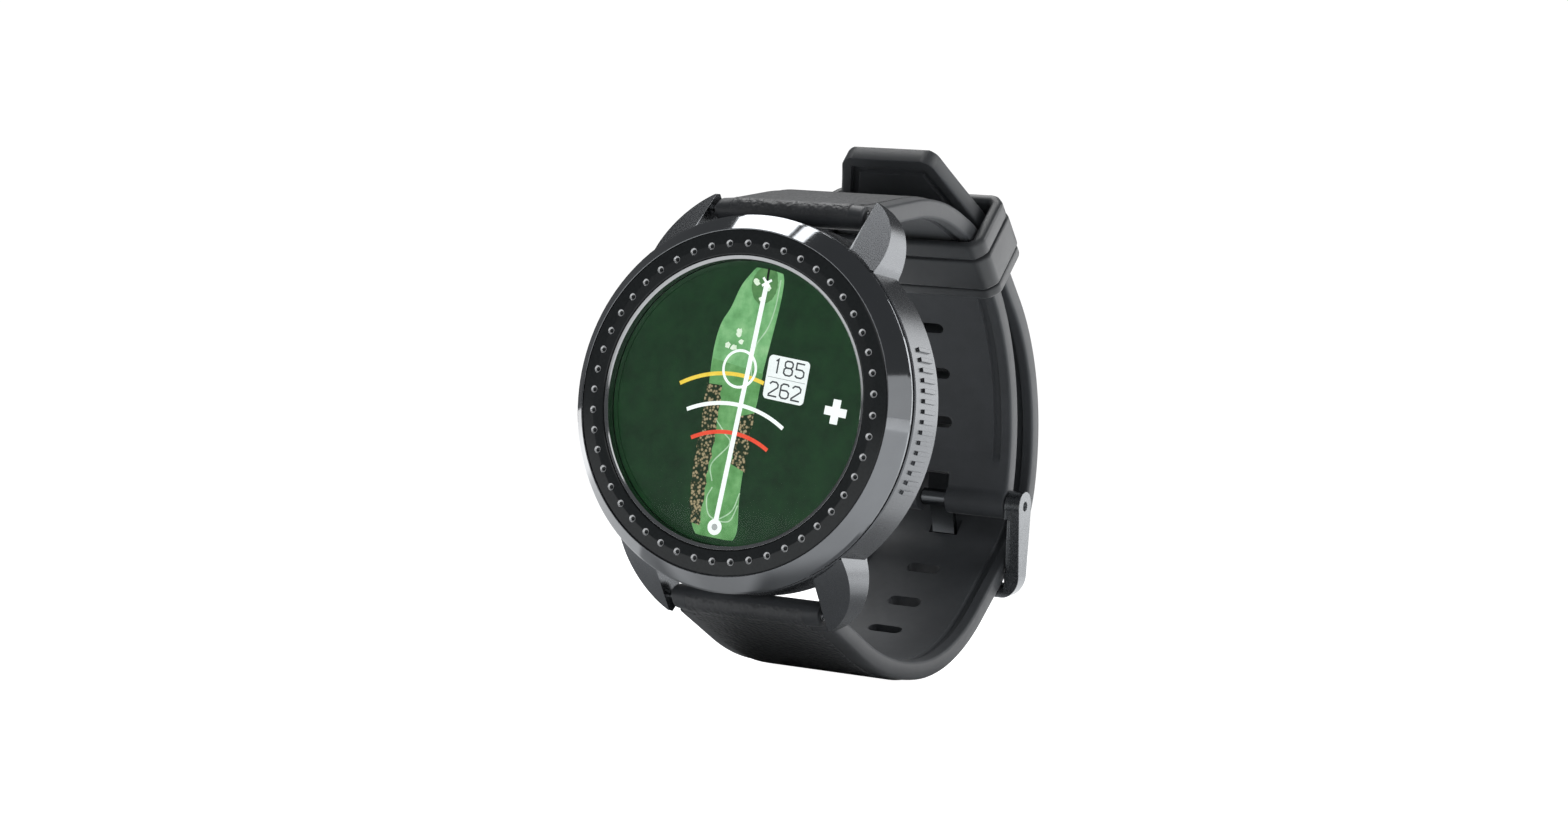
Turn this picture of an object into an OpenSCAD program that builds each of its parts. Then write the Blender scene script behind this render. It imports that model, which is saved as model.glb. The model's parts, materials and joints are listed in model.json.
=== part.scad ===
/* [Case] */
// Outside diameter of the lower case ring (mm)
case_d = 45.0; // [42:0.1:48]
// Thickness from the dial insert to the back of the case (mm)
case_thick = 13.4; // [12.4:0.1:15]
// Gap between the two lugs of a pair (mm)
lug_gap = 21.9; // [20:0.1:22.4]
// Distance of a lug tip from the centre of the dial, along the strap (mm)
lug_reach = 25.7; // [25.2:0.1:26.4]
// Grip ribs on the 3 o'clock side of the case ring
rib_count = 15; // [7:2:19]

/* [Dial] */
// Radius of the circle that the dimples of the dial insert lie on (mm)
dimple_circle_r = 18.84; // [18.6:0.02:19.2]
// Dimples in the dial insert
dimple_count = 48; // [24:12:60]
// Diameter of one dimple (mm)
dimple_d = 0.9; // [0.5:0.1:1.3]
// Radius of the round display (mm)
display_r = 16.3; // [15:0.05:16.3]

/* [Strap] */
// Width of both straps (mm)
strap_w = 21.4; // [19:0.1:21.5]
// Thickness of both straps (mm)
strap_t = 2.6; // [2.2:0.1:2.8]
// Distance between the adjusting holes, along the strap (mm)
hole_pitch = 6.5; // [5:0.1:8]
// Adjusting holes in the long strap
hole_count = 10; // [5:1:10]
// Length of the chamfered tip of the long strap (mm)
tip_len = 12.6; // [8:0.1:15]
// Width of the flat end of the long strap (mm)
tip_w = 12.3; // [8:0.1:14]

/* [Keeper and buckle] */
// Thickness of the strap keeper's side walls (mm)
keeper_wall = 1.6; // [1.2:0.1:2]
// Length of the strap keeper along the strap (mm)
keeper_len = 9.5; // [8.5:0.1:9.8]
// Length of the keeper's middle band (mm)
keeper_mid_len = 5.2; // [4:0.1:5.6]
// Thickness of the buckle's two arms (mm)
buckle_arm_t = 2.1; // [1.6:0.1:2.6]
// Diameter of the buckle's cross bar (mm)
buckle_bar_d = 2.1; // [1.6:0.1:2.2]
// Diameter of the pin through the strap end (mm)
pin_d = 1.2; // [1:0.1:1.4]

/* [Running fits] */
// Radial clearance of a moving round fit (mm)
run_clear = 0.04; // [0.02:0.01:0.08]
// Travel of the power button (mm)
button_travel = 0.5; // [0.3:0.1:0.6]
// Travel of a spring bar tip (mm)
tip_travel = 1.0; // [0.8:0.1:1.2]

/* [Hidden] */
$fn = 96;
fine_fn = 48;
// depth of the origin behind the dial insert
dial_depth = 36;
// hair used where a cut has to pass right through
eps = 0.05;
case_r = case_d / 2;
// depths behind the dial insert
seam_d = 3.5;
// grip ribs: degrees between two ribs, width, height, length, and the depth they reach
rib_pitch = 3.1;
rib_w = 0.5;
rib_h = 0.28;
rib_len = 3.0;
rib_back_d = 8.5;
ring_back_d = 10.3;
floor_front_d = 8.7;
flange_back_d = 11.5;
flange_r = case_r - 0.75;
board_front_d = 4.9;
board_back_d = 5.7;
bore_r = 20.0;
back_opening_r = 17.0;
glass_r = 16.95;
glass_front_d = 0.45;
glass_back_d = 1.65;
display_back_d = 3.0;
insert_in_r = 17.55;
insert_out_r = 20.45;
insert_back_d = 0.95;
spigot_r = bore_r - run_clear;
spigot_back_d = 4.6;
// lugs
lug_in_x = lug_gap / 2;
lug_side_r = 8.2;
lug_side_x = 15.3 - lug_side_r;
lug_side_y = 18.5;
// spring bars
bar_y = 23.8;
bar_d = 10.4;
bar_tube_r = 0.78;
bar_bore_r = 0.5;
bar_lip_r = 0.42;
bar_half = 10.3;
lip_t = 0.4;
bar_pivot_r = bar_lip_r - run_clear;
bar_collar_r = bar_bore_r - run_clear;
// a tip leaves its lug when it is pushed in by its travel
bar_reach = tip_travel;
bar_relief_r = 1.95;
strap_eye_r = 1.6;
strap_eye_w = 20.2;
eye_len = 2.2;
edge_step = 0.35;
// short strap centre line, from the spring bar: heading, then straight, crown arc, straight, knee arc,
// the flat that the keeper rides on, and the rear arc
short_head = -13.2;
short_straight = 12.0299;
crown_r = 30;
crown_turn = 25.3;
short_mid = 2.3;
knee_r = 12;
knee_turn = 26.8;
short_flat = 5.6324;
rear_r = 33.0;
rear_turn = 55.4;
crown_c = [
  bar_y + short_straight * sin(-short_head) - crown_r * cos(short_head),
  bar_d + short_straight * cos(short_head) - crown_r * sin(short_head)
];
knee_from = short_head + crown_turn;
knee_c = [
  crown_c[0] + (crown_r - knee_r) * cos(knee_from) - short_mid * sin(knee_from),
  crown_c[1] + (crown_r - knee_r) * sin(knee_from) + short_mid * cos(knee_from)
];
rear_from = knee_from + knee_turn;
rear_c = [
  knee_c[0] + (knee_r - rear_r) * cos(rear_from) - short_flat * sin(rear_from),
  knee_c[1] + (knee_r - rear_r) * sin(rear_from) + short_flat * cos(rear_from)
];
rear_to = rear_from + rear_turn;
pin_pos = [rear_c[0] + rear_r * cos(rear_to), rear_c[1] + rear_r * sin(rear_to)];
// long strap centre line: straight, bottom arc, lower arc, straight, turn, tail arc, tail
long_head = -20.5;
long_a = 11.5;
long_b_r = 39.3;
long_b_turn = 24.5;
long_c_r = 25.5;
long_c_turn = 41;
long_d = 11.4;
long_e_r = 14.3;
long_e_turn = 45;
long_f_turn = 52.5;
b_c = [
  bar_y + long_a * sin(-long_head) - long_b_r * cos(long_head),
  bar_d + long_a * cos(long_head) - long_b_r * sin(long_head)
];
c_from = long_head + long_b_turn;
c_c = [b_c[0] + (long_b_r - long_c_r) * cos(c_from), b_c[1] + (long_b_r - long_c_r) * sin(c_from)];
d_head = c_from + long_c_turn;
e_c = [
  c_c[0] + (long_c_r - long_e_r) * cos(d_head) - long_d * sin(d_head),
  c_c[1] + (long_c_r - long_e_r) * sin(d_head) + long_d * cos(d_head)
];
f_from = d_head + long_e_turn;
g_head = f_from + long_f_turn;
// the tail runs straight, touching a circle round the centre of the rear arc
tail_gap = 0.8;
tail_r = rear_r + strap_t + tail_gap;
tail_at = 180 - g_head;
// distance of the tail's line from e_c, measured square to the tail
tail_off = rear_c[0] * cos(tail_at) + rear_c[1] * sin(tail_at) + tail_r
  - (-e_c[0] * cos(tail_at) + e_c[1] * sin(tail_at));
e_off = long_e_r * sin(f_from) * sin(tail_at);
long_f_r = (tail_off - e_off) / (1 - sin(tail_at));
long_g = 26.6;
f_start_s = long_a + long_b_r * long_b_turn * PI / 180 + long_c_r * long_c_turn * PI / 180
  + long_d + long_e_r * long_e_turn * PI / 180;
hole_s0 = 39.8;
// the hole that the tang goes through
tang_hole = 3;
hole_w = 4.8;
hole_t = 1.7;
vent_w = 4.0;
vent_t = 1.5;
vent_at = [39.9, 52.0, 64.1, 76.2];
// buckle
buckle_in_x = strap_w / 2 + 0.25;
buckle_out_x = buckle_in_x + buckle_arm_t;
buckle_tilt = 9.4;
buckle_len = 11.5;
buckle_head_r = 1.95;
pin_r = pin_d / 2;
pin_half = buckle_out_x - 0.35;
strap_head_r = 1.9;
tang_w = 3.5;
tang_t = 0.9;
tang_barrel_r = 1.15;
tang_slot_w = 4.2;
tang_slot_len = 3.4;
// the finger of the tang is one arc that starts on the barrel and ends over the cross bar
tang_arc_r = 10.71;
tang_c = [15.42, 52.63];
tang_from = 66;
tang_to = 136;
// keeper
// radial distances from the rear arc's centre, and distances along the strap from the end of its flat part
keeper_front = 30.7;
keeper_front_wall = 1.15;
keeper_rear = 37.95;
keeper_rear_wall = 1.45;
keeper_half_x = strap_w / 2 + 0.3;
keeper_low = -0.35;
keeper_low_len = 1.75;
keeper_line = 0.3;
keeper_line_depth = 0.3;
keeper_mid_grow = 0.12;
keeper_rim = 0.35;
// button
button_cap_r = 1.6;
button_stem_r = 0.8;
button_d = 6.95;
// the cap still stands proud when it is pressed
button_out = button_travel + 0.3;
button_cap_t = 1.3;
wall_hole_floor = case_r - 1.3;

// the dial frame: x to 3 o'clock, y to 12 o'clock, z out of the dial, from the dial insert
module dial() {
  rotate([90, 0, 0])
    translate([0, 0, dial_depth])
      children();
}

// a ring or disc between two depths
module ring_d(r_out, r_in, front, back) {
  translate([0, 0, -back])
    difference() {
      cylinder(r = r_out, h = back - front);
      translate([0, 0, -eps])
        cylinder(r = r_in, h = back - front + 2 * eps);
    }
}

module disc_d(r, front, back) {
  translate([0, 0, -back])
    cylinder(r = r, h = back - front);
}

// a rod along the strap width at a place in the side view
module cross_rod(y, d, r, half) {
  translate([0, y, -d])
    rotate([0, 90, 0])
      cylinder(r = r, h = 2 * half, center = true);
}

module bezel_ring() {
  color("#6d7276")
    dial()
      rotate_extrude()
        polygon([
          [16.4, -1.95], [glass_r + 0.05, -1.95], [glass_r + 0.05, -1.75], [insert_in_r, -1.75],
          [insert_in_r, -insert_back_d], [20.5, -insert_back_d], [20.5, -0.22], [20.62, -0.2],
          [22.3, -2.15], [22.52, -2.45], [22.55, -2.7], [22.4, -2.85], [21.9, -2.95],
          [21.9, -seam_d], [spigot_r, -seam_d], [spigot_r, -spigot_back_d],
          [18.9, -spigot_back_d], [18.9, -3.3], [17.0, -3.3], [16.4, -2.9]
        ]);
}

module bezel_insert() {
  color("#15171a")
    dial()
      difference() {
        rotate_extrude()
          polygon([
            [insert_in_r, -insert_back_d], [insert_out_r, -insert_back_d], [insert_out_r, -0.32],
            [insert_out_r - 0.12, -0.24], [dimple_circle_r, 0], [insert_in_r + 0.1, -0.06],
            [insert_in_r, -0.14]
          ]);
        for (i = [0 : dimple_count - 1])
          rotate(i * 360 / dimple_count)
            translate([dimple_circle_r, 0, 0])
              rotate_extrude($fn = 24)
                polygon([
                  [0, eps], [dimple_d / 2 + 0.03, eps], [dimple_d / 2, 0], [dimple_d / 2 - 0.1, -0.12],
                  [0.2, -0.24], [0, -0.26]
                ]);
      }
}

module lens_ring() {
  color("#c8ccd0")
    dial()
      rotate_extrude()
        polygon([
          [glass_r + 0.05, -1.75], [insert_in_r, -1.75], [insert_in_r, -0.36],
          [insert_in_r - 0.14, -0.24], [glass_r + 0.2, -0.3], [glass_r + 0.05, -0.42]
        ]);
}

module lens_glass() {
  color("#dfe8ee", 0.35)
    dial()
      rotate_extrude()
        polygon([
          [0, -glass_back_d], [glass_r, -glass_back_d], [glass_r, -0.62],
          [glass_r - 0.17, -glass_front_d], [0, -glass_front_d]
        ]);
}

module lens_gasket() {
  color("#0c0c0c")
    dial()
      difference() {
        ring_d(glass_r, 16.42, glass_back_d, 1.95);
        ring_d(16.55, 16, glass_back_d - eps, glass_back_d + 0.06);
      }
}

module display_panel() {
  color("#101812")
    dial()
      difference() {
        disc_d(display_r, glass_back_d + 0.1, display_back_d);
        // flat under the connector of the flex
        translate([-5, -display_r - 1, -display_back_d - eps])
          cube([10, 1.6, 0.5]);
      }
}

module display_flex() {
  color("#b06a2a")
    dial()
      union() {
        translate([-4, -15.6, -display_back_d - 0.12])
          cube([8, 5.6, 0.12]);
        translate([-4, -15.6, -board_back_d - 0.12])
          cube([8, 0.12, board_back_d - display_back_d]);
        translate([-4, -15.6, -board_back_d - 0.12])
          cube([8, 3.6, 0.12]);
        translate([-4.4, -14.6, -board_back_d - 0.6])
          cube([8.8, 2.2, 0.48]);
      }
}

module bezel_seal() {
  color("#141414")
    dial()
      translate([0, 0, -seam_d - 0.36])
        rotate_extrude()
          translate([20.42, 0])
            circle(r = 0.36, $fn = 24);
}

// positions of the three board screws
module at_board_screws() {
  for (a = [30, 150, 245])
    rotate(a)
      translate([16.3, 0, 0])
        children();
}

module mid_frame() {
  color("#2c3036")
    dial()
      difference() {
        union() {
          ring_d(18.7, 11.5, 3.7, 4.3);
          ring_d(18.7, 17.9, 4.3, 8.4);
          difference() {
            translate([-13.4, -10.4, -9.5])
              cube([26.8, 20.8, 3.0]);
            translate([-13.0, -10.0, -9.6])
              cube([26.0, 20.0, 2.55]);
            translate([-12, -9, -9.6])
              cube([24, 18, 4]);
          }
          // bars that carry the battery box from the ring
          intersection() {
            union() {
              translate([-9, -19, -7.05])
                cube([4, 38, 0.55]);
              translate([12.6, -19, -7.05])
                cube([2.2, 38, 0.55]);
            }
            disc_d(18.3, 6, 8);
          }
          at_board_screws()
            translate([0, 0, -board_front_d])
              cylinder(r = 1.3, h = board_front_d - 3.7);
        }
        translate([-5, -19, -9])
          cube([10, 6, 6]);
        translate([-20, -3.2, -8.5])
          cube([6, 6.4, 4.1]);
        at_board_screws()
          translate([0, 0, -board_front_d - eps])
            cylinder(r = 0.5, h = 1.3, $fn = fine_fn);
        rotate([0, 0, 30])
          translate([0, 0, -5.9])
            rotate_extrude(angle = 120)
              translate([17.7, 0])
                square([1.2, 1.5]);
      }
}

module gps_antenna() {
  color("#c9a24a")
    dial()
      rotate([0, 0, 31])
        translate([0, 0, -5.85])
          rotate_extrude(angle = 118)
            translate([17.95, 0])
              square([0.65, 1.4]);
}

module main_board() {
  color("#1f5a34")
    dial()
      difference() {
        disc_d(17.6, board_front_d, board_back_d);
        translate([-4.6, -19, -board_back_d - eps])
          cube([9.2, 3.6, 1]);
        at_board_screws()
          translate([0, 0, -board_back_d - eps])
            cylinder(r = 0.65, h = 1, $fn = fine_fn);
        translate([-18.4, -3.1, -board_back_d - eps])
          cube([2.0, 6.2, 1]);
      }
}

module shield_can() {
  color("#b9bcc0")
    dial()
      difference() {
        translate([1, -5.5, -board_back_d - 1.1])
          cube([11, 11, 1.1]);
        translate([1.2, -5.3, -board_back_d - 0.9])
          cube([10.6, 10.6, 1]);
      }
}

module board_screws() {
  color("#8d9094")
    dial()
      at_board_screws()
        translate([0, 0, -board_back_d])
          difference() {
            union() {
              cylinder(r = 0.48, h = 1.9, $fn = fine_fn);
              translate([0, 0, -0.5])
                cylinder(r = 1.0, h = 0.5, $fn = fine_fn);
            }
            translate([0, 0, -0.5 - eps])
              rotate_extrude($fn = 24)
                square([0.35, 0.3]);
          }
}

module battery() {
  color("#9aa0a6")
    dial()
      translate([-12.8, -9.8, -9.4])
        cube([25.6, 19.6, 2.3]);
}

module battery_pad() {
  color("#d8d2c0")
    dial()
      translate([-8, -7, -9.95])
        cube([16, 14, 0.55]);
}

module button_switch() {
  color("#5d6166")
    dial()
      union() {
        translate([-16.4, -2.4, -7.7])
          cube([1.8, 4.8, 2.0]);
        translate([-17.0, 0, -button_d])
          rotate([0, 90, 0])
            cylinder(r = 0.55, h = 0.7, $fn = fine_fn);
        translate([-16.3, -2.4, -board_back_d - 0.1])
          cube([1.7, 4.8, 0.1]);
      }
}

// one horn shaped lug: the curved outer side, the flat inner side and the sloping front facet
module lug() {
  intersection() {
    translate([lug_side_x, lug_side_y, -14])
      cylinder(r = lug_side_r, h = 14);
    translate([lug_in_x, 12, -14])
      cube([6, 16, 14]);
    rotate([0, -90, 0])
      translate([0, 0, -18])
        linear_extrude(9)
          polygon([
            [-3.6, 12], [-3.6, 18.0], [-10.3, lug_reach - 0.1], [-11.2, lug_reach],
            [-12.1, 24.8], [-12.45, 23.4], [-10.35, 16.8], [-10.3, 12]
          ]);
    // front facet, leaning outwards
    translate([lug_in_x, 20.0, -5.3])
      rotate([-42, 0, 0])
        rotate([0, 11, 0])
          translate([-6, -20, -30])
            cube([20, 40, 30]);
  }
}

module lug_pair() {
  lug();
  mirror([1, 0, 0])
    lug();
}

// screw positions through the case back
module at_back_screws() {
  for (a = [45, 135, 225, 315])
    rotate(a)
      translate([18.9, 0, 0])
        children();
}

module case_body() {
  color("#5c6064")
    dial()
      difference() {
        union() {
          difference() {
            rotate_extrude()
              polygon([
                [back_opening_r, -floor_front_d], [bore_r, -floor_front_d], [bore_r, -4.75],
                [20.06, -seam_d - 0.72], [20.78, -seam_d - 0.72], [20.78, -seam_d],
                [21.9, -seam_d], [case_r - 0.12, -seam_d - 0.05], [case_r, -seam_d - 0.2],
                [case_r, -9.7], [case_r - 0.5, -ring_back_d], [back_opening_r, -ring_back_d]
              ]);
            // hollows that the strap ends turn in
            for (s = [-1, 1])
              cross_rod(s * bar_y, bar_d, bar_relief_r, lug_in_x + eps);
          }
          difference() {
            union() {
              lug_pair();
              mirror([0, 1, 0])
                lug_pair();
            }
            translate([0, 0, -14])
              cylinder(r = bore_r + 1, h = 14);
            // room for the flange of the case back
            translate([0, 0, -14])
              cylinder(r = flange_r + 0.1, h = 14 - ring_back_d);
          }
          // grip ribs on the 3 o'clock side
          intersection() {
            for (i = [0 : rib_count - 1])
              rotate((i - (rib_count - 1) / 2) * rib_pitch)
                translate([case_r - 0.4, -rib_w / 2, -rib_back_d])
                  cube([1, rib_w, rib_len]);
            ring_d(case_r + rib_h, case_r - 0.3, 4, 10);
          }
        }
        for (s = [-1, 1])
          cross_rod(s * bar_y, bar_d, bar_lip_r + 0.03, lug_in_x + bar_reach + 0.3);
        at_back_screws()
          translate([0, 0, -ring_back_d - eps])
            cylinder(r = 0.7, h = 1.3, $fn = fine_fn);
        // button bore, from the left
        translate([-case_r - 1, 0, -button_d])
          rotate([0, 90, 0])
            cylinder(r = button_stem_r + run_clear, h = 4, $fn = fine_fn);
        translate([-case_r - 1, 0, -button_d])
          rotate([0, 90, 0])
            cylinder(r = button_cap_r + run_clear, h = 1 + case_r - wall_hole_floor, $fn = fine_fn);
        translate([-20.7, 0, -button_d])
          rotate([0, 90, 0])
            cylinder(r = button_stem_r + 0.5, h = 1.2, $fn = fine_fn);
      }
}

module power_button() {
  color("#6d7276")
    dial()
      translate([-case_r - button_out, 0, -button_d])
        rotate([0, 90, 0])
          difference() {
            union() {
              rotate_extrude($fn = fine_fn)
                polygon([
                  [0, -0.05], [button_cap_r - 0.5, 0], [button_cap_r - 0.15, 0.12],
                  [button_cap_r, 0.3], [button_cap_r, button_cap_t], [0, button_cap_t]
                ]);
              cylinder(r = button_stem_r, h = 5.7, $fn = fine_fn);
            }
            // groove that the clip sits in
            translate([0, 0, 3.4])
              difference() {
                cylinder(r = 1, h = 0.34, $fn = fine_fn);
                translate([0, 0, -eps])
                  cylinder(r = 0.6, h = 1, $fn = fine_fn);
              }
          }
}

module button_clip() {
  color("#b9bcc0")
    dial()
      translate([-case_r - button_out + 3.43, 0, -button_d])
        rotate([0, 90, 0])
          difference() {
            cylinder(r = 1.7, h = 0.28, $fn = fine_fn);
            translate([0, 0, -eps])
              cylinder(r = 0.61, h = 1, $fn = fine_fn);
            translate([-0.45, 0, -eps])
              cube([0.9, 2, 1]);
          }
}

module button_seal() {
  color("#141414")
    dial()
      translate([-20.5, 0, -button_d])
        rotate([0, 90, 0])
          rotate_extrude($fn = fine_fn)
            translate([button_stem_r + 0.2, 0])
              circle(r = 0.2, $fn = 24);
}

module case_back_seal() {
  color("#141414")
    dial()
      translate([0, 0, -ring_back_d - 0.3])
        rotate_extrude()
          translate([17.35, 0])
            circle(r = 0.3, $fn = 24);
}

module case_back() {
  color("#4e5256")
    dial()
      difference() {
        rotate_extrude()
          polygon([
            [0, -9.95], [back_opening_r - 0.1, -9.95], [back_opening_r - 0.1, -ring_back_d],
            [17.0, -ring_back_d], [17.0, -ring_back_d - 0.64], [17.7, -ring_back_d - 0.64],
            [17.7, -ring_back_d], [flange_r - 0.05, -ring_back_d], [flange_r, -flange_back_d + 0.4],
            [flange_r - 0.4, -flange_back_d], [16.6, -flange_back_d - 0.2],
            [15.2, -case_thick + 0.25], [14.4, -case_thick], [0, -case_thick]
          ]);
        at_back_screws()
          translate([0, 0, -flange_back_d - eps])
            cylinder(r = 0.9, h = 2, $fn = fine_fn);
        at_back_screws()
          translate([0, 0, -flange_back_d - 1])
            cylinder(r = 1.5, h = 1.55, $fn = fine_fn);
        // seat of the contact carrier
        translate([-5.05, -13.05, -case_thick - eps])
          cube([10.1, 3.1, 5]);
      }
}

module case_back_screws() {
  color("#8d9094")
    dial()
      at_back_screws()
        translate([0, 0, -flange_back_d + 0.55])
          difference() {
            union() {
              translate([0, 0, -0.5])
                cylinder(r = 1.4, h = 0.5, $fn = fine_fn);
              cylinder(r = 0.68, h = 1.8, $fn = fine_fn);
            }
            translate([0, 0, -0.5 - eps])
              linear_extrude(0.4)
                circle(r = 0.55, $fn = 6);
          }
}

module at_contacts() {
  for (x = [-3.3, -1.1, 1.1, 3.3])
    translate([x, -11.5, 0])
      children();
}

module contact_carrier() {
  color("#1a1a1a")
    dial()
      difference() {
        translate([-5, -13, -case_thick])
          cube([10, 3, case_thick - 9.9]);
        at_contacts()
          translate([0, 0, -case_thick - 1])
            cylinder(r = 0.7, h = 6, $fn = fine_fn);
      }
}

module charge_contacts() {
  color("#d8b45a")
    dial()
      at_contacts()
        translate([0, 0, -case_thick + 0.1])
          cylinder(r = 0.69, h = 3.7, $fn = fine_fn);
}

// spring bar tube, hollow, with a lip at each end that keeps the tips in
module bar_tube(y) {
  dial()
    difference() {
      cross_rod(y, bar_d, bar_tube_r, bar_half, $fn = fine_fn);
      cross_rod(y, bar_d, bar_bore_r, bar_half - lip_t, $fn = fine_fn);
      cross_rod(y, bar_d, bar_lip_r, bar_half + eps, $fn = fine_fn);
    }
}

// one spring bar tip: the pivot that enters the lug and the collar behind the lip
module bar_tip(y, s) {
  dial()
    translate([0, y, -bar_d])
      rotate([0, s * 90, 0])
        union() {
          translate([0, 0, 8.0])
            cylinder(r = bar_pivot_r, h = lug_in_x + bar_reach - 8.0, $fn = fine_fn);
          translate([0, 0, 8.0])
            cylinder(r = bar_collar_r, h = bar_half - lip_t - 0.02 - 8.0, $fn = fine_fn);
        }
}

module spring_bar_top() {
  color("#b9bcc0")
    bar_tube(bar_y);
}

module spring_bar_bottom() {
  color("#b9bcc0")
    bar_tube(-bar_y);
}

module bar_tip_top_left() {
  color("#c8ccd0")
    bar_tip(bar_y, -1);
}

module bar_tip_top_right() {
  color("#c8ccd0")
    bar_tip(bar_y, 1);
}

module bar_tip_bottom_left() {
  color("#c8ccd0")
    bar_tip(-bar_y, -1);
}

module bar_tip_bottom_right() {
  color("#c8ccd0")
    bar_tip(-bar_y, 1);
}

// side view frame of a strap: x away from the wrist, y along the strap, z across it
module short_side() {
  translate([0, -dial_depth, 0])
    rotate([0, -90, 0])
      children();
}

module long_side() {
  translate([0, -dial_depth, 0])
    rotate([0, 90, 0])
      children();
}

// points of an arc of the side view: centre, radius, first angle, turn and steps
function arc_pts(c, r, from, turn, n) =
  [for (i = [0 : n]) c + r * [cos(from + turn * i / n), sin(from + turn * i / n)]];

function reversed(v) = [for (i = [len(v) - 1 : -1 : 0]) v[i]];

// one face of the short strap, at a distance outside its centre line
function short_face(o) = concat(
  [[bar_y, bar_d] + o * [cos(short_head), sin(short_head)]],
  arc_pts(crown_c, crown_r + o, short_head, crown_turn, 12),
  arc_pts(knee_c, knee_r + o, knee_from, knee_turn, 12),
  arc_pts(rear_c, rear_r + o, rear_from, rear_turn, 28)
);

// one face of the long strap, at a distance outside its centre line
function long_face(o) = concat(
  [[bar_y, bar_d] + o * [cos(long_head), sin(long_head)]],
  arc_pts(b_c, long_b_r + o, long_head, long_b_turn, 12),
  arc_pts(c_c, long_c_r + o, c_from, long_c_turn, 18),
  arc_pts(e_c, long_e_r + o, d_head, long_e_turn, 18),
  arc_pts(f_c, long_f_r + o, f_from, long_f_turn, 24),
  [g_p + o * [cos(g_head), sin(g_head)] + long_g * [-sin(g_head), cos(g_head)]]
);

// a strap from its two faces: full thickness in the middle, a little thinner along both edges
module strap_body(outer, inner, outer_edge, inner_edge) {
  linear_extrude(strap_w - 2 * edge_step, center = true)
    polygon(concat(outer, reversed(inner)));
  linear_extrude(strap_w, center = true)
    polygon(concat(outer_edge, reversed(inner_edge)));
}

// bore for the spring bar, and the cuts that narrow the eye to fit between the lugs
module eye_cuts(head) {
  translate([bar_y, bar_d, 0]) {
    cylinder(r = bar_tube_r + 0.01, h = strap_w + 1, center = true, $fn = fine_fn);
    rotate(head)
      for (s = [-1, 1])
        translate([-3, -3, s * (strap_eye_w / 2 + 2) - 2])
          cube([6, 3 + eye_len, 4]);
  }
}

// a slot through the strap at an angle round a bend's centre
module bend_slot(c, r, a, w, t) {
  translate([c[0], c[1], 0])
    rotate(a)
      translate([r, 0, 0])
        rotate([0, 90, 0])
          slot_cut(w, t);
}

// round ended slot, w across the strap and t along it
module slot_cut(w, t) {
  linear_extrude(8, center = true)
    union() {
      square([w - t, t], center = true);
      translate([-(w - t) / 2, 0])
        circle(d = t, $fn = 24);
      translate([(w - t) / 2, 0])
        circle(d = t, $fn = 24);
    }
}

module strap_short() {
  color("#34373b")
    short_side()
      difference() {
        union() {
          strap_body(
            short_face(strap_t / 2), short_face(-strap_t / 2),
            short_face(strap_t / 2 - edge_step), short_face(edge_step - strap_t / 2)
          );
          translate([bar_y, bar_d, 0])
            cylinder(r = strap_eye_r, h = strap_w, center = true);
          translate([pin_pos[0], pin_pos[1], 0])
            cylinder(r = strap_head_r, h = strap_w, center = true);
        }
        eye_cuts(short_head);
        translate([pin_pos[0], pin_pos[1], 0])
          cylinder(r = pin_r + 0.01, h = strap_w + 1, center = true, $fn = fine_fn);
        // slot that the tang swings in
        translate([pin_pos[0], pin_pos[1], 0])
          rotate(rear_to)
            translate([-3.5, -tang_slot_len, -tang_slot_w / 2])
              cube([7, tang_slot_len + 3, tang_slot_w]);
        for (a = vent_at)
          bend_slot(rear_c, rear_r, a, vent_w, vent_t);
      }
}

// a point of the long strap's centre line by distance: [centre, radius, angle] of its bend
function long_at(s) =
  let (
    sb = long_a,
    sc = sb + long_b_r * long_b_turn * PI / 180,
    sd = sc + long_c_r * long_c_turn * PI / 180,
    se = sd + long_d,
    sf = f_start_s
  )
    s < sc ? [b_c, long_b_r, long_head + (s - sb) / long_b_r * 180 / PI]
    : s < sd ? [c_c, long_c_r, c_from + (s - sc) / long_c_r * 180 / PI]
    : s < se ? [
        [c_c[0] - (s - sd) * sin(d_head), c_c[1] + (s - sd) * cos(d_head)], long_c_r, d_head
      ]
    : s < sf ? [e_c, long_e_r, d_head + (s - se) / long_e_r * 180 / PI]
    : [f_c, long_f_r, f_from + (s - sf) / long_f_r * 180 / PI];

f_c = [
  e_c[0] + (long_e_r - long_f_r) * cos(f_from),
  e_c[1] + (long_e_r - long_f_r) * sin(f_from)
];
g_p = [f_c[0] + long_f_r * cos(g_head), f_c[1] + long_f_r * sin(g_head)];

// finger of the tang in the long strap's side view, fattened by the clearance on its two faces
module tang_finger(clear_in, clear_out, w) {
  translate([tang_c[0], tang_c[1], 0])
    rotate([0, 0, tang_from])
      rotate_extrude(angle = tang_to - tang_from, $fn = 120)
        translate([tang_arc_r - tang_t / 2 - clear_in, -w / 2])
          square([tang_t + clear_in + clear_out, w]);
}

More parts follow.
